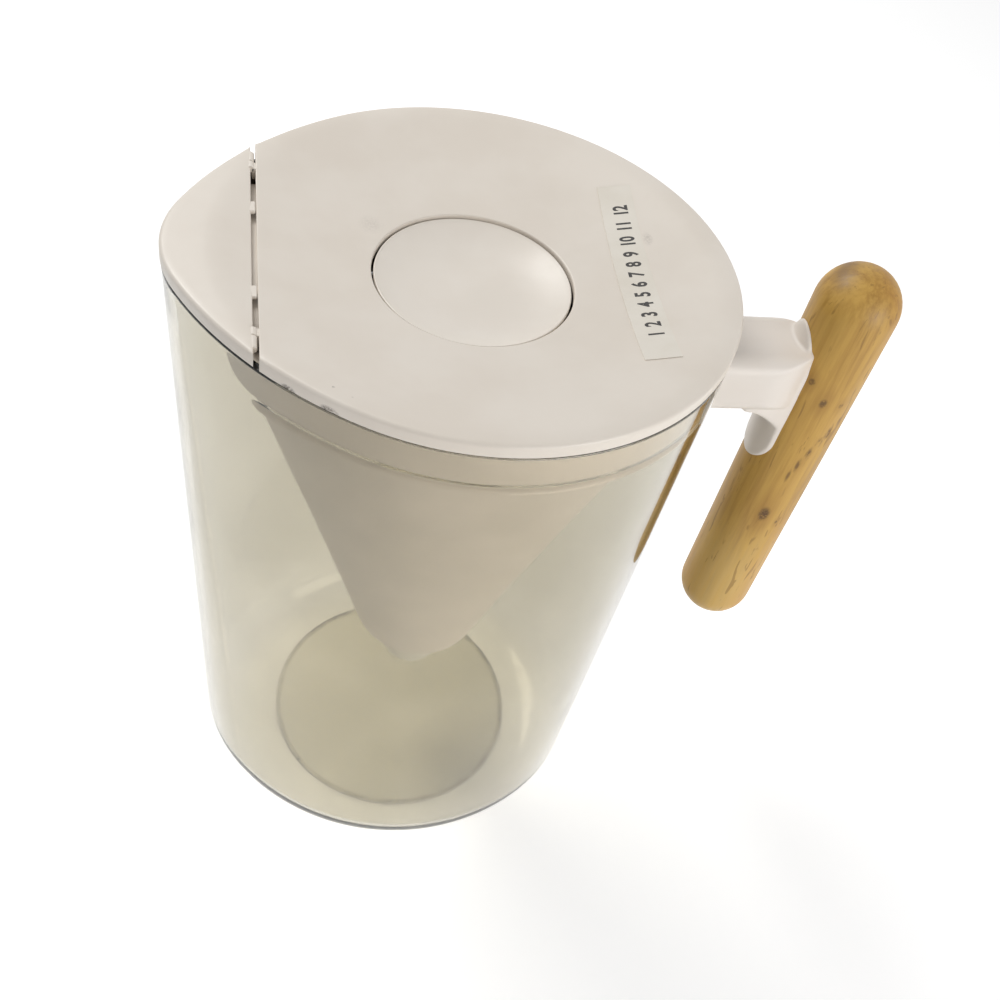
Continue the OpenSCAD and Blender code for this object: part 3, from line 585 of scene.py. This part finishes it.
# Length over which the ledge fades out
LEDGE_FADE = 4
# The arm's two bolt holes: height from its middle, and radius
BOLT_RISE, BOLT_HOLE_R = 5.5, 2.3


def ledge_ring(z, share):
    """Inside of the wall, with the ledge at a share of its width; it fades out towards the spout."""
    ring = []
    for p, q in zip(wall_ring(z, WALL), wall_ring(z, WALL + COLLAR_T)):
        past = p[0] - (CORNER_W - TANK_FRONT) + LEDGE_FADE / 2
        reach = share * min(1.0, max(0.0, past / LEDGE_FADE))
        ring.append((p[0] + (q[0] - p[0]) * reach, p[1] + (q[1] - p[1]) * reach, z))
    return ring


def make_jug():
    angles = [math.atan2(y, x) for x, y in wall_ring(FOOT_GAP, BASE_FILLET)]
    pocket = PAD_R + SEAT_GAP
    rings = [circle(0, pocket, PAD_T, angles), circle(0, pocket, FOOT_GAP + 0.15, angles),
             circle(0, pocket + 0.15, FOOT_GAP, angles)]
    for a in quarter(FILLET_N):
        z = FOOT_GAP + BASE_FILLET * (1 - math.cos(a))
        rings.append(at(wall_ring(z, BASE_FILLET * (1 - math.sin(a))), z))
    low, high = FOOT_GAP + BASE_FILLET, BODY_TOP - RIM_ROUND
    for k in range(1, WALL_N + 1):
        z = low + (high - EVEN - low) * k / WALL_N
        rings.append(at(wall_ring(z, 0), z))
    for a in quarter(ROUND_N):
        z = BODY_TOP - RIM_ROUND * (1 - math.sin(a))
        rings.append(at(wall_ring(z, RIM_ROUND * (1 - math.cos(a))), z))
    for a in quarter(ROUND_N):
        z = BODY_TOP - RIM_ROUND * (1 - math.cos(a))
        rings.append(at(wall_ring(z, WALL - RIM_ROUND * (1 - math.sin(a))), z))
    for z in (high - EVEN, LEDGE_Z + LEDGE_PROFILE[0][0] + EVEN):
        rings.append(at(wall_ring(z, WALL), z))
    rings += [ledge_ring(LEDGE_Z + rise, share) for rise, share in LEDGE_PROFILE]
    fillet = BASE_FILLET - WALL
    under_ledge, low = LEDGE_Z + LEDGE_PROFILE[-1][0], FLOOR_Z + fillet
    for k in range(1, WALL_N + 1):
        z = under_ledge + (low - under_ledge) * k / WALL_N
        rings.append(at(wall_ring(z, WALL), z))
    for a in quarter(FILLET_N)[-2::-1]:
        z = FLOOR_Z + fillet * (1 - math.cos(a))
        rings.append(at(wall_ring(z, WALL + fillet * (1 - math.sin(a))), z))
    rings += [[(x * s, y * s, FLOOR_Z) for x, y in flat(rings[-1])] for s in (0.8, 0.6, 0.4, 0.2)]
    return mesh("jug_shell", *stack(rings))


def fit_arm_mount(jug):
    """Joins the mount that the arm stands on to the wall, and cuts its two bolt holes."""
    mid = RIM_H - ARM_DROP - ARM_H / 2
    wall_x, inner_x = wall_ring(mid, 0)[0][0], wall_ring(mid, WALL)[0][0]
    outline = rounded(ARM_W, ARM_H, ARM_ROUND)
    boss = mesh("boss", *stack([[(x, y, mid + z) for y, z in outline] for x in (inner_x + 0.5, wall_x + MOUNT_T)]))
    cut(jug, boss, "UNION")
    for z in (mid - BOLT_RISE, mid + BOLT_RISE):
        hole = bar((inner_x - 1, 0, z), (wall_x + MOUNT_T + 1, 0, z), BOLT_HOLE_R, 0)
        cut(jug, mesh("hole", *hole), "DIFFERENCE")
    shade(jug.data, SHARP)


jug = make_jug()
fit_arm_mount(jug)
dress(jug, clear_mat, "jug", "clear_plastic", "pitcher_body")


def pad_profile():
    """The foot disc's section: it stands on a ring, and its top stays clear of the pocket's roof."""
    hollow, top = 0.2, PAD_T - 0.1
    return [(0.01, hollow), (PAD_R - 4.4, hollow), (PAD_R - 3.8, 0.0), (PAD_R - 1.6, 0.0), (PAD_R - 0.6, 0.15),
            (PAD_R - 0.1, 0.6), (PAD_R, 1.1), (PAD_R, top - 0.1), (PAD_R - 0.1, top), (0.01, top)]


dress(mesh("foot_disc", *revolve(pad_profile(), 0, 160)), pad_mat, "jug", "foot_pad", "base_pad")


# Tank

SOCKET_R = CART_R + LIFT_GAP
# Rounding of the funnel's low end, and how far the collar's top edge is broken
NOSE_SOFT, COLLAR_BREAK = 4.5, 0.5
# The turn from funnel to collar: share of the way out, and height above the collar's underside
COLLAR_TURN = ((0.1, -0.12), (0.25, 0.0), (0.86, 0.0), (0.97, 0.15), (1.0, 0.6))


def funnel_ring(z, d):
    """The funnel's section at height z, from round at the nose to the tank's plan at the collar."""
    k = (z - NOSE_Z) / (COLLAR_LOW - NOSE_Z)
    out = []
    for x, y in tank_ring(z, TANK_IN + d, d):
        a = math.atan2(y, x - NOSE_X)
        cx, cy = NOSE_X + (NOSE_R - d) * math.cos(a), (NOSE_R - d) * math.sin(a)
        out.append((cx * (1 - k) + x * k, cy * (1 - k) + y * k))
    return out


def crown_ring(d, lower=0.0):
    """The collar's top edge, moved in by d and kept under the lid's dish."""
    ring = tank_ring(BODY_TOP, COLLAR_IN + d, d)
    return [(x, y, min(BODY_TOP, under_z(math.hypot(x - DISH_X, y)) - LIFT_GAP) - lower) for x, y in ring]


def make_tank():
    angles = [math.atan2(y, x - NOSE_X) for x, y in tank_ring(COLLAR_LOW, TANK_IN, 0)]
    rings = [circle(NOSE_X, SOCKET_R + 0.3, NOSE_Z, angles)]
    for a in quarter(6):
        z = NOSE_Z + NOSE_SOFT * (1 - math.cos(a))
        rings.append(at(funnel_ring(z, NOSE_SOFT * (1 - math.sin(a))), z))
    low, high, n = NOSE_Z + NOSE_SOFT, COLLAR_LOW - 0.6, 20
    for k in range(1, n + 1):
        z = low + (high - low) * k / n
        rings.append(at(funnel_ring(z, 0), z))
    root, out = tank_ring(COLLAR_LOW, TANK_IN, 0), tank_ring(COLLAR_LOW, COLLAR_IN, 0)
    rings += [at(part_way(root, out, f), COLLAR_LOW + rise) for f, rise in COLLAR_TURN]
    rings += [crown_ring(0, COLLAR_BREAK), crown_ring(COLLAR_BREAK), crown_ring(COLLAR_T - COLLAR_BREAK),
              crown_ring(COLLAR_T, COLLAR_BREAK)]
    shelf, ease = COLLAR_LOW + COLLAR_ROOT, 0.3
    for d, rise in ((COLLAR_T, ease), (COLLAR_T + ease, 0.0)):
        rings.append(at(tank_ring(COLLAR_LOW, COLLAR_IN + d, d), shelf + rise))
    rings.append(at(funnel_ring(COLLAR_LOW, TANK_WALL - ease), shelf))
    top, bottom, n = shelf - 0.4, NOSE_Z + TANK_WALL, 16
    for k in range(n + 1):
        z = top + (bottom - top) * k / n
        rings.append(at(funnel_ring(min(z, COLLAR_LOW), TANK_WALL), z))
    outer, high = SOCKET_R + SOCKET_WALL, NOSE_Z + SOCKET_H
    for r, z in ((outer + 0.05, bottom), (outer, bottom + 0.3), (outer, high - 0.4), (outer - 0.4, high),
                 (SOCKET_R + 0.4, high), (SOCKET_R, high - 0.4), (SOCKET_R, NOSE_Z + 0.3)):
        rings.append(circle(NOSE_X, r, z, angles))
    return mesh("funnel_tank", *stack(rings, closed=True))


dress(make_tank(), tank_mat, "tank", "tank_plastic", "reservoir")


# Lid

def resample(pts, n):
    """n + 1 points at equal steps along a line of points."""
    lengths = [0.0]
    for p, q in zip(pts, pts[1:]):
        lengths.append(lengths[-1] + math.dist(p, q))
    out, k = [], 0
    for i in range(n + 1):
        s = lengths[-1] * i / n
        while k < len(pts) - 2 and lengths[k + 1] < s:
            k += 1
        f = (s - lengths[k]) / max(1e-9, lengths[k + 1] - lengths[k])
        out.append((pts[k][0] + (pts[k + 1][0] - pts[k][0]) * f, pts[k][1] + (pts[k + 1][1] - pts[k][1]) * f))
    return out


def crossing(pts, x):
    """Where a line of points first passes x, as (index after it, point)."""
    for i in range(1, len(pts)):
        if (pts[i - 1][0] - x) * (pts[i][0] - x) <= 0:
            f = (x - pts[i - 1][0]) / (pts[i][0] - pts[i - 1][0])
            return i, (x, pts[i - 1][1] + (pts[i][1] - pts[i - 1][1]) * f)


# Steps along the lid's side, the flap's side, the flap's lip and the seam
LID_SIDE_N, FLAP_SIDE_N, LIP_N, SEAM_N = 130, 60, 40, 36
# How far the rounding of the outline takes to turn into that of the seam
TURN_LEN = 5.0
# Roundings of the seam's upper edge, of the lower side edge and of the seam's lower edge
SEAM_ROUND, LOW_ROUND, LOW_SEAM_ROUND = 0.35, 0.4, 0.3


def lid_line(d, e):
    """The lid's outline moved in by d, closed by its straight front moved back by e."""
    half = half_plan(RIM, d)
    i, c = crossing(half, -SEAM_X + e)
    side = resample(half[:i] + [c], LID_SIDE_N)
    seam = [(c[0], c[1] * (1 - 2 * k / SEAM_N)) for k in range(1, SEAM_N)]
    return side + seam + [(x, -y) for x, y in side[:0:-1]]


def flap_line(d, e):
    """The flap's outline moved in by d, closed by its straight back moved forward by e."""
    half = half_plan(RIM, d)
    i, c = crossing(half, HINGE_X - e)
    side = resample([c] + half[i:], FLAP_SIDE_N)
    seam = [(c[0], -c[1] * (1 - 2 * k / SEAM_N)) for k in range(1, SEAM_N)]
    return side + [(x, -y) for x, y in side[-2::-1]] + seam


def round_share(pts, x_line):
    """0 on the straight edge at x_line, turning to 1 at TURN_LEN from it along X."""
    return [min(1.0, abs(x - x_line) / TURN_LEN) ** 0.5 for x, _ in pts]


def edge_rings(line, x_line, r_side, r_seam, top, steps):
    """Rings of a rounded edge from face to side: radius r_side round the outline, r_seam on the seam."""
    share = round_share(line(0, 0), x_line)
    rings = []
    for a in quarter(steps):
        ring = []
        for s, p in zip(share, line(r_side * (1 - math.sin(a)), r_seam * (1 - math.sin(a)))):
            drop = (r_seam + (r_side - r_seam) * s) * (1 - math.cos(a))
            ring.append((*p, lid_top_z(*p) - drop if top else LID_LOW + drop))
        rings.append(ring)
    return rings


def both_edges(line, x_line):
    """Rings of the upper edge from the face down, and of the lower one from the underside up."""
    return (edge_rings(line, x_line, LID_ROUND, SEAM_ROUND, True, 6),
            edge_rings(line, x_line, LOW_ROUND, LOW_SEAM_ROUND, False, 3))


def bottom_z(x, y):
    return min(LID_LOW, under_z(math.hypot(x - DISH_X, y)))


def make_lid():
    upper, lower = both_edges(lid_line, -SEAM_X)
    start = flat(upper[0])
    angles = [math.atan2(y, x - DISH_X) for x, y in start]
    soft, face_n, hole_n, under_n = 0.5, 46, 4, 20
    bore_r = HOLE_R + soft
    bore = [(DISH_X + bore_r * math.cos(a), bore_r * math.sin(a)) for a in angles]
    face = [[(x, y, lid_top_z(x, y)) for x, y in part_way(start, bore, k / face_n)] for k in range(1, face_n + 1)]
    hole = [circle(DISH_X, HOLE_R + soft * (1 - math.sin(a)), dish_z(bore_r) - soft * (1 - math.cos(a)), angles)
            for a in quarter(hole_n)[1:]]
    ease = 0.3
    hole.append(circle(DISH_X, HOLE_R, under_z(HOLE_R) + ease, angles))
    hole.append(circle(DISH_X, HOLE_R + ease, under_z(HOLE_R), angles))
    inner, outer = flat(hole[-1]), flat(lower[0])
    under = [[(x, y, bottom_z(x, y)) for x, y in part_way(inner, outer, k / under_n)] for k in range(1, under_n)]
    return stack(upper[::-1] + face + hole + under + lower, closed=True)


seam_y = crossing(half_plan(RIM, 0), -SEAM_X)[1][1]
knuckle_y = seam_y - KNUCKLE_IN


# Small parts that the lid, the flap and the door share
BOSS_WALL, BOSS_L, BOSS_BREAK, KNUCKLE_BREAK, BLOCK_EDGE = 1.3, 4.0, 0.2, 0.15, 0.2
BOSS_R = DOOR_PIN_R + BOSS_WALL
DOOR_RIM_Z = dish_z(HOLE_R) - DOOR_DROP
DOOR_AXIS_Z = DOOR_RIM_Z - DOOR_T - BOSS_R + 0.2
SHELF_REACH, SHELF_ROOT, SHELF_WEB = 0.6, 1.5, 0.1


def knuckle(y0, y1):
    return bar((HINGE_X, y0, HINGE_Z), (HINGE_X, y1, HINGE_Z), KNUCKLE_R, KNUCKLE_BREAK)


def lid_extras():
    """Pin bosses under the plate, the shelf under the seam and the hinge knuckles at its ends."""
    shelf_y, shelf_z = seam_y - SHELF_IN, LID_LOW - SEAT_GAP
    shelf_low, root = shelf_z - SHELF_T, SHELF_ROOT - SEAM_X
    parts = [block((HINGE_X - SHELF_REACH, -shelf_y, shelf_low), (root, shelf_y, shelf_z), BLOCK_EDGE),
             block((SHELF_WEB - SEAM_X, -shelf_y, shelf_low), (root, shelf_y, LID_LOW + 0.5), BLOCK_EDGE)]
    for s in (-1, 1):
        x0, x1 = sorted((DISH_X + s * (HOLE_R + SEAT_GAP), DISH_X + s * (HOLE_R + SEAT_GAP + BOSS_L)))
        parts.append(bar((x0, DOOR_AXIS_Y, DOOR_AXIS_Z), (x1, DOOR_AXIS_Y, DOOR_AXIS_Z), BOSS_R, BOSS_BREAK))
        parts.append(block((x0, DOOR_AXIS_Y - BOSS_R, DOOR_AXIS_Z),
                           (x1, DOOR_AXIS_Y + BOSS_R, dish_z(HOLE_R) - 0.4), BLOCK_EDGE))
        y0, y1 = sorted((s * knuckle_y, s * (knuckle_y + KNUCKLE_W)))
        parts.append(knuckle(y0, y1))
        parts.append(block((HINGE_X + 0.4, y0, LID_LOW), (-SEAM_X + 0.5, y1, HINGE_Z + 0.4), KNUCKLE_BREAK))
    return merged(*parts)


lid = mesh("lid_top", *merged(make_lid(), lid_extras()))
dress(lid, lid_mat, "lid", "lid_plastic", "lid_plate")


def shrunk(ring, mid_x, t):
    """The ring's points drawn in towards (mid_x, 0) to the share t of their distance."""
    return [(mid_x + (x - mid_x) * t, y * t) for x, y in flat(ring)]


def make_flap():
    """The flap's rounded edge, with its face and underside drawn in to a point near its middle."""
    upper, lower = both_edges(flap_line, HINGE_X)
    mid_x, n = -70.0, 15
    face, under = [], []
    for k in range(1, n):
        t = 1 - k / n
        face.append([(x, y, lid_top_z(x, y)) for x, y in shrunk(upper[0], mid_x, t)])
        under.append(at(shrunk(lower[0], mid_x, t), LID_LOW))
    return stack(under[::-1] + lower + upper[::-1] + face)


def flap_lip():
    """The lip under the flap: a low wall along its outline with a broken lower edge."""
    lines = []
    for d in (LIP_IN, LIP_IN + LIP_T):
        half = half_plan(RIM, d)
        i, c = crossing(half, HINGE_X - LIP_BACK)
        side = resample([c] + half[i:], LIP_N)
        lines.append(side + [(x, -y) for x, y in side[-2::-1]])
    low, high, e = LID_LOW - LIP_H, LID_LOW + 0.4, 0.3
    sections = []
    for (ax, ay), (bx, by) in zip(*lines):
        ex, ey = (bx - ax) / LIP_T * e, (by - ay) / LIP_T * e
        sections.append([(ax, ay, high), (ax, ay, low + e), (ax + ex, ay + ey, low),
                         (bx - ex, by - ey, low), (bx, by, low + e), (bx, by, high)])
    return stack(sections)


def flap_extras():
    """The lip under the flap, the stop tabs across the seam and the outer hinge knuckles."""
    parts = [flap_lip()]
    tab_z = dish_z(math.hypot(HINGE_X - DISH_X, TAB_Y))
    outer_y = knuckle_y + KNUCKLE_W + SEAT_GAP
    for s in (-1, 1):
        y = s * TAB_Y
        parts.append(block((HINGE_X - 2, y - TAB_W / 2, tab_z - TAB_T),
                           (HINGE_X + SEAM_W - SEAT_GAP, y + TAB_W / 2, tab_z), BLOCK_EDGE))
        parts.append(knuckle(*sorted((s * outer_y, s * (outer_y + FLAP_KNUCKLE_W)))))
    return merged(*parts)


flap = mesh("flap_top", *merged(make_flap(), flap_extras()))
dress(flap, lid_mat, "flap", "lid_plastic", "spout_flap")


# Fill door

DOOR_R = HOLE_R - DOOR_GAP
# Rounding of the door's edge, and width of the band that it takes up
DOOR_ROUND, DOOR_BAND = 0.35, 0.7
# Place and size of the counterweight, and the half length and gaps of the tray that holds it
WEIGHT_Y, WEIGHT_R = 17.0, 3.0
TRAY_END, TRAY_SIDE, TRAY_HALF = 13.52, 3.52, 0.5


def door_top(r):
    return DOOR_RIM_Z - DOOR_DISH * (1 - (r / DOOR_R) ** DOOR_POWER)


def door_plate():
    n = 36

    def step_r(k):
        return (DOOR_R - DOOR_BAND) * (1 - (1 - k / n) ** 1.3)

    profile = [(0.01, door_top(0))]
    profile += [(step_r(k), door_top(step_r(k))) for k in range(1, n)]
    for a in quarter(4):
        profile.append((DOOR_R - DOOR_ROUND * (1 - math.sin(a)),
                        DOOR_RIM_Z - DOOR_ROUND * (1 - math.cos(a)) - 0.05))
    profile += [(DOOR_R, DOOR_RIM_Z - DOOR_T + 0.3), (DOOR_R - 0.3, DOOR_RIM_Z - DOOR_T)]
    profile += [(step_r(k), door_top(step_r(k)) - DOOR_T) for k in range(n - 3, 0, -3)]
    profile.append((0.01, door_top(0) - DOOR_T))
    return revolve(profile, DISH_X, 180)


def make_door():
    """The dished plate, its two pin bosses and the tray of the counterweight."""
    parts = [door_plate()]
    for s in (-1, 1):
        x1 = DISH_X + s * (DOOR_R - 1.2)
        low, high = sorted((x1 - s * 2.4, x1))
        parts.append(bar((low, DOOR_AXIS_Y, DOOR_AXIS_Z), (high, DOOR_AXIS_Y, DOOR_AXIS_Z), BOSS_R - 0.4,
                         KNUCKLE_BREAK))
    z = door_top(WEIGHT_Y - WEIGHT_R / 2) - DOOR_T - WEIGHT_R - 0.02
    for s in (-1, 1):
        x, y = DISH_X + s * TRAY_END, WEIGHT_Y + s * TRAY_SIDE
        parts.append(block((x - TRAY_HALF, WEIGHT_Y - 4, z), (x + TRAY_HALF, WEIGHT_Y + 4, z + WEIGHT_R + 1.6),
                           BLOCK_EDGE))
        parts.append(block((DISH_X - 14, y - TRAY_HALF, z), (DISH_X + 14, y + TRAY_HALF, z + WEIGHT_R + 1.2),
                           BLOCK_EDGE))
    return merged(*parts)


door = mesh("door_dish", *make_door())
dress(door, door_mat, "door", "door_plastic", "fill_door")


# Tape strip with plain numbers

STRIP_LIFT = 0.02


def on_strip(u, v, lift):
    """Point u along and v across the strip, lift above the dish."""
    t = math.radians(STRIP_TURN)
    x = STRIP_X + v * math.cos(t) - u * math.sin(t)
    y = STRIP_Y + v * math.sin(t) + u * math.cos(t)
    return (x, y, dish_z(math.hypot(x - DISH_X, y)) + lift)


def make_strip():
    """The tape as a thin grid that follows the dish, below and above, closed round its edge."""
    rows, cols = 42, 6
    verts = [on_strip(STRIP_L * (i / rows - 0.5), STRIP_W * (j / cols - 0.5), lift)
             for lift in (STRIP_LIFT, STRIP_T + 0.01) for i in range(rows + 1) for j in range(cols + 1)]
    m = (rows + 1) * (cols + 1)
    faces = []
    for i in range(rows):
        for j in range(cols):
            a = i * (cols + 1) + j
            q = (a, a + 1, a + cols + 2, a + cols + 1)
            faces.append(q[::-1])
            faces.append(tuple(m + k for k in q))
    edge = list(range(cols + 1))
    edge += [(i + 1) * (cols + 1) - 1 for i in range(1, rows + 1)]
    edge += [rows * (cols + 1) + j for j in range(cols - 1, -1, -1)]
    edge += [i * (cols + 1) for i in range(rows - 1, 0, -1)]
    for p, q in zip(edge, edge[1:] + edge[:1]):
        faces.append((p, q, m + q, m + p))
    return verts, faces


dress(mesh("tape_strip", *make_strip(), sharp=SHARP_SOFT), tape_mat, "lid", "tape", "label_strip")


# Length of the row of numbers, and how far it lies off the strip's middle
NUMBERS_L, NUMBERS_OFF = 60.5, 0.9


def make_numbers():
    curve = bpy.data.curves.new("numbers", "FONT")
    curve.body = "1  2  3  4  5  6  7  8  9  10  11  12"
    curve.size = 6.2
    curve.align_x = "CENTER"
    curve.align_y = "CENTER"
    curve.offset = 0.2
    curve.space_character = 0.98
    curve.resolution_u = 4
    text = bpy.data.objects.new("numbers", curve)
    bpy.context.scene.collection.objects.link(text)
    bpy.context.view_layer.update()
    me = bpy.data.meshes.new_from_object(text.evaluated_get(bpy.context.evaluated_depsgraph_get()))
    bpy.data.objects.remove(text)
    xs = [v.co.x for v in me.vertices]
    stretch = NUMBERS_L / (max(xs) - min(xs))
    verts = [on_strip(v.co.x * stretch + NUMBERS_OFF, NUMBERS_OFF - v.co.y, STRIP_T + 0.035)
             for v in me.vertices]
    return verts, [tuple(p.vertices) for p in me.polygons]


dress(mesh("strip_numbers", *make_numbers()), ink_mat, "lid", "tape")


# Handle

# Where the saddle's backing starts and ends, along X before the rod's axis
CORE_FROM, CORE_TO = 20, 4


def saddle_core():
    """What the saddle's shell is backed with while it is smoothed: a slice of the rod inside its outline."""
    top = RIM_H - ARM_DROP + SADDLE_RISE
    low = top - SADDLE_L
    high_mid, low_mid = top - UPPER_LONG * SADDLE_HW, low + LOWER_LONG * SADDLE_HW
    n = 48
    line = []
    for start, mid, long in ((0, high_mid, UPPER_LONG), (math.pi, low_mid, LOWER_LONG)):
        for k in range(n + 1):
            a = start + math.pi * k / n
            line.append((SADDLE_HW * math.cos(a), mid + long * SADDLE_HW * math.sin(a)))
    core = mesh("core", *stack([[(x, y, z) for y, z in line] for x in (ROD_X - CORE_FROM, ROD_X - CORE_TO)]))
    r = ROD_R + 0.6
    cut(core, mesh("slice", *revolve([(r, low - 2), (r, top + 2)], ROD_X, 96)), "INTERSECT")
    return core


def make_arm():
    """The part's own arm with its edges smoothed, bored again to sit on the rod."""
    o = bpy.data.objects.new("arm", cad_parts["handle_bracket"].data.copy())
    bpy.context.scene.collection.objects.link(o)
    core = saddle_core()
    bm = bmesh.new()
    bm.from_mesh(o.data)
    bm.from_mesh(core.data)
    bm.to_mesh(o.data)
    bm.free()
    bpy.data.objects.remove(core)
    m = o.modifiers.new("even", "REMESH")
    m.mode = "VOXEL"
    m.voxel_size = 0.5 * MM
    applied(o)
    m = o.modifiers.new("soften", "SMOOTH")
    m.factor = 0.5
    m.iterations = 14
    applied(o)
    r = ROD_R + 0.06
    cut(o, mesh("bore", *revolve([(r, 100), (r, 300)], ROD_X, 112)), "DIFFERENCE")
    shade(o.data, SHARP_SOFT)
    return o


dress(make_arm(), arm_mat, "jug", "arm_plastic", "handle_bracket")


def make_rod():
    low, r, n = RIM_H - ROD_L, ROD_R, 24
    profile = [(max(0.01, r * math.sin(a)), low + r * (1 - math.cos(a))) for a in quarter(14)]
    profile += [(r, low + r + (ROD_L - 2 * r) * k / n) for k in range(1, n)]
    profile += [(max(0.01, r * math.cos(a)), RIM_H - r * (1 - math.sin(a))) for a in quarter(14)]
    return mesh("rod", *revolve(profile, ROD_X, 112))


dress(make_rod(), wood_mat, "jug", "wood", "handle_grip")

# CAD nodes that stay as they are

KEPT = {
    "bracket_gasket": rubber_mat, "bolt_seals": rubber_mat, "filter_seal": rubber_mat,
    "bracket_bolts": steel_mat, "flap_hinge_pins": steel_mat, "door_pivot_pins": steel_mat,
    "door_counterweight": steel_mat, "grip_inserts": brass_mat, "filter_shell": cart_mat,
    "filter_cap": cart_mat, "filter_carbon": granule_mat, "filter_mesh_top": mesh_mat,
    "filter_mesh_bottom": mesh_mat, "lid_underplate": lid_mat,
}
for name, mat in KEPT.items():
    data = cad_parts[name].data
    data.materials.clear()
    data.materials.append(mat)

# Stage, camera and light

FLOOR_GLOW, ROOM_LEVEL = 0.4, 0.40


def either(nt, a, b):
    """The larger of two sockets."""
    n = nt.nodes.new("ShaderNodeMath")
    n.operation = "MAXIMUM"
    nt.links.new(a, n.inputs[0])
    nt.links.new(b, n.inputs[1])
    return n.outputs[0]


def seen(nt):
    """1 for rays from the camera and for those that a mirror or a clear wall passes on, 0 for others."""
    path = nt.nodes.new("ShaderNodeLightPath")
    passed_on = either(nt, path.outputs["Is Glossy Ray"], path.outputs["Is Transmission Ray"])
    return either(nt, path.outputs["Is Camera Ray"], passed_on)


def make_floor():
    size = 4.0
    me = bpy.data.meshes.new("floor")
    corners = [(-size, -size, 0), (size, -size, 0), (size, size, 0), (-size, size, 0)]
    me.from_pydata(corners, [], [(0, 1, 2, 3)])
    o = bpy.data.objects.new("floor", me)
    bpy.context.scene.collection.objects.link(o)
    k = Look("floor_white", Roughness=1.0)
    k.set("Base Color", k.mix(k.noise(3.0, 2.0), (0.86, 0.86, 0.86, 1), (0.88, 0.88, 0.88, 1)))
    k.set("Specular IOR Level", 0.0)
    k.bsdf.inputs["Emission Color"].default_value = (1, 1, 1, 1)
    k.set("Emission Strength", k.math("MULTIPLY", seen(k.nt), FLOOR_GLOW))
    me.materials.append(k.mat)


def make_world():
    """White where it is seen, and softer where it only lights the object."""
    world = bpy.data.worlds.new("studio")
    bpy.context.scene.world = world
    world.use_nodes = True
    nt = world.node_tree
    back = nt.nodes["Background"]
    back.inputs[0].default_value = (0.97, 0.98, 1.0, 1)
    level = nt.nodes.new("ShaderNodeMapRange")
    nt.links.new(seen(nt), level.inputs[0])
    level.inputs[3].default_value = ROOM_LEVEL
    level.inputs[4].default_value = 1.0
    nt.links.new(level.outputs[0], back.inputs[1])


def lamp(name, place, target, size, power, colour):
    """A soft rectangular lamp, its places and sizes in metres, turned to its target."""
    data = bpy.data.lights.new(name, "AREA")
    data.shape = "RECTANGLE"
    data.size, data.size_y = size
    data.energy = power
    data.color = colour
    o = bpy.data.objects.new(name, data)
    bpy.context.scene.collection.objects.link(o)
    o.location = place
    o.rotation_euler = (Vector(target) - Vector(place)).to_track_quat("-Z", "Y").to_euler()


# Place in metres, angles in degrees, and focal length as a share of the sensor's width
CAMERA_PLACE = (-0.06742, -0.26362, 0.44541)
CAMERA_TURN = (19.53, 47.80, 14.66)
CAMERA_FOCAL, SENSOR_W = 1.14395, 36.0


def make_camera():
    yaw, pitch, roll = (math.radians(a) for a in CAMERA_TURN)
    f = Vector((math.sin(yaw) * math.cos(pitch), math.cos(yaw) * math.cos(pitch), -math.sin(pitch)))
    r = f.cross(Vector((0, 0, 1))).normalized()
    u = r.cross(f)
    right = r * math.cos(roll) + u * math.sin(roll)
    up = -r * math.sin(roll) + u * math.cos(roll)
    data = bpy.data.cameras.new("camera")
    data.sensor_width = SENSOR_W
    data.lens = SENSOR_W * CAMERA_FOCAL
    data.clip_start = 0.01
    o = bpy.data.objects.new("camera", data)
    bpy.context.scene.collection.objects.link(o)
    m = Matrix.Identity(4)
    for i in range(3):
        m[i][0], m[i][1], m[i][2] = right[i], up[i], -f[i]
        m[i][3] = CAMERA_PLACE[i]
    o.matrix_world = m
    bpy.context.scene.camera = o


make_floor()
make_world()
make_camera()
lamp("window", (-0.50, 0.75, 1.20), (0.0, 0.0, 0.24), (0.80, 0.64), 10.4, (1.0, 0.985, 0.96))
lamp("room", (0.62, -0.95, 0.40), (0.0, 0.0, 0.14), (0.9, 0.7), 7.0, (1.0, 0.985, 0.97))
bpy.context.scene.view_settings.view_transform = "Standard"
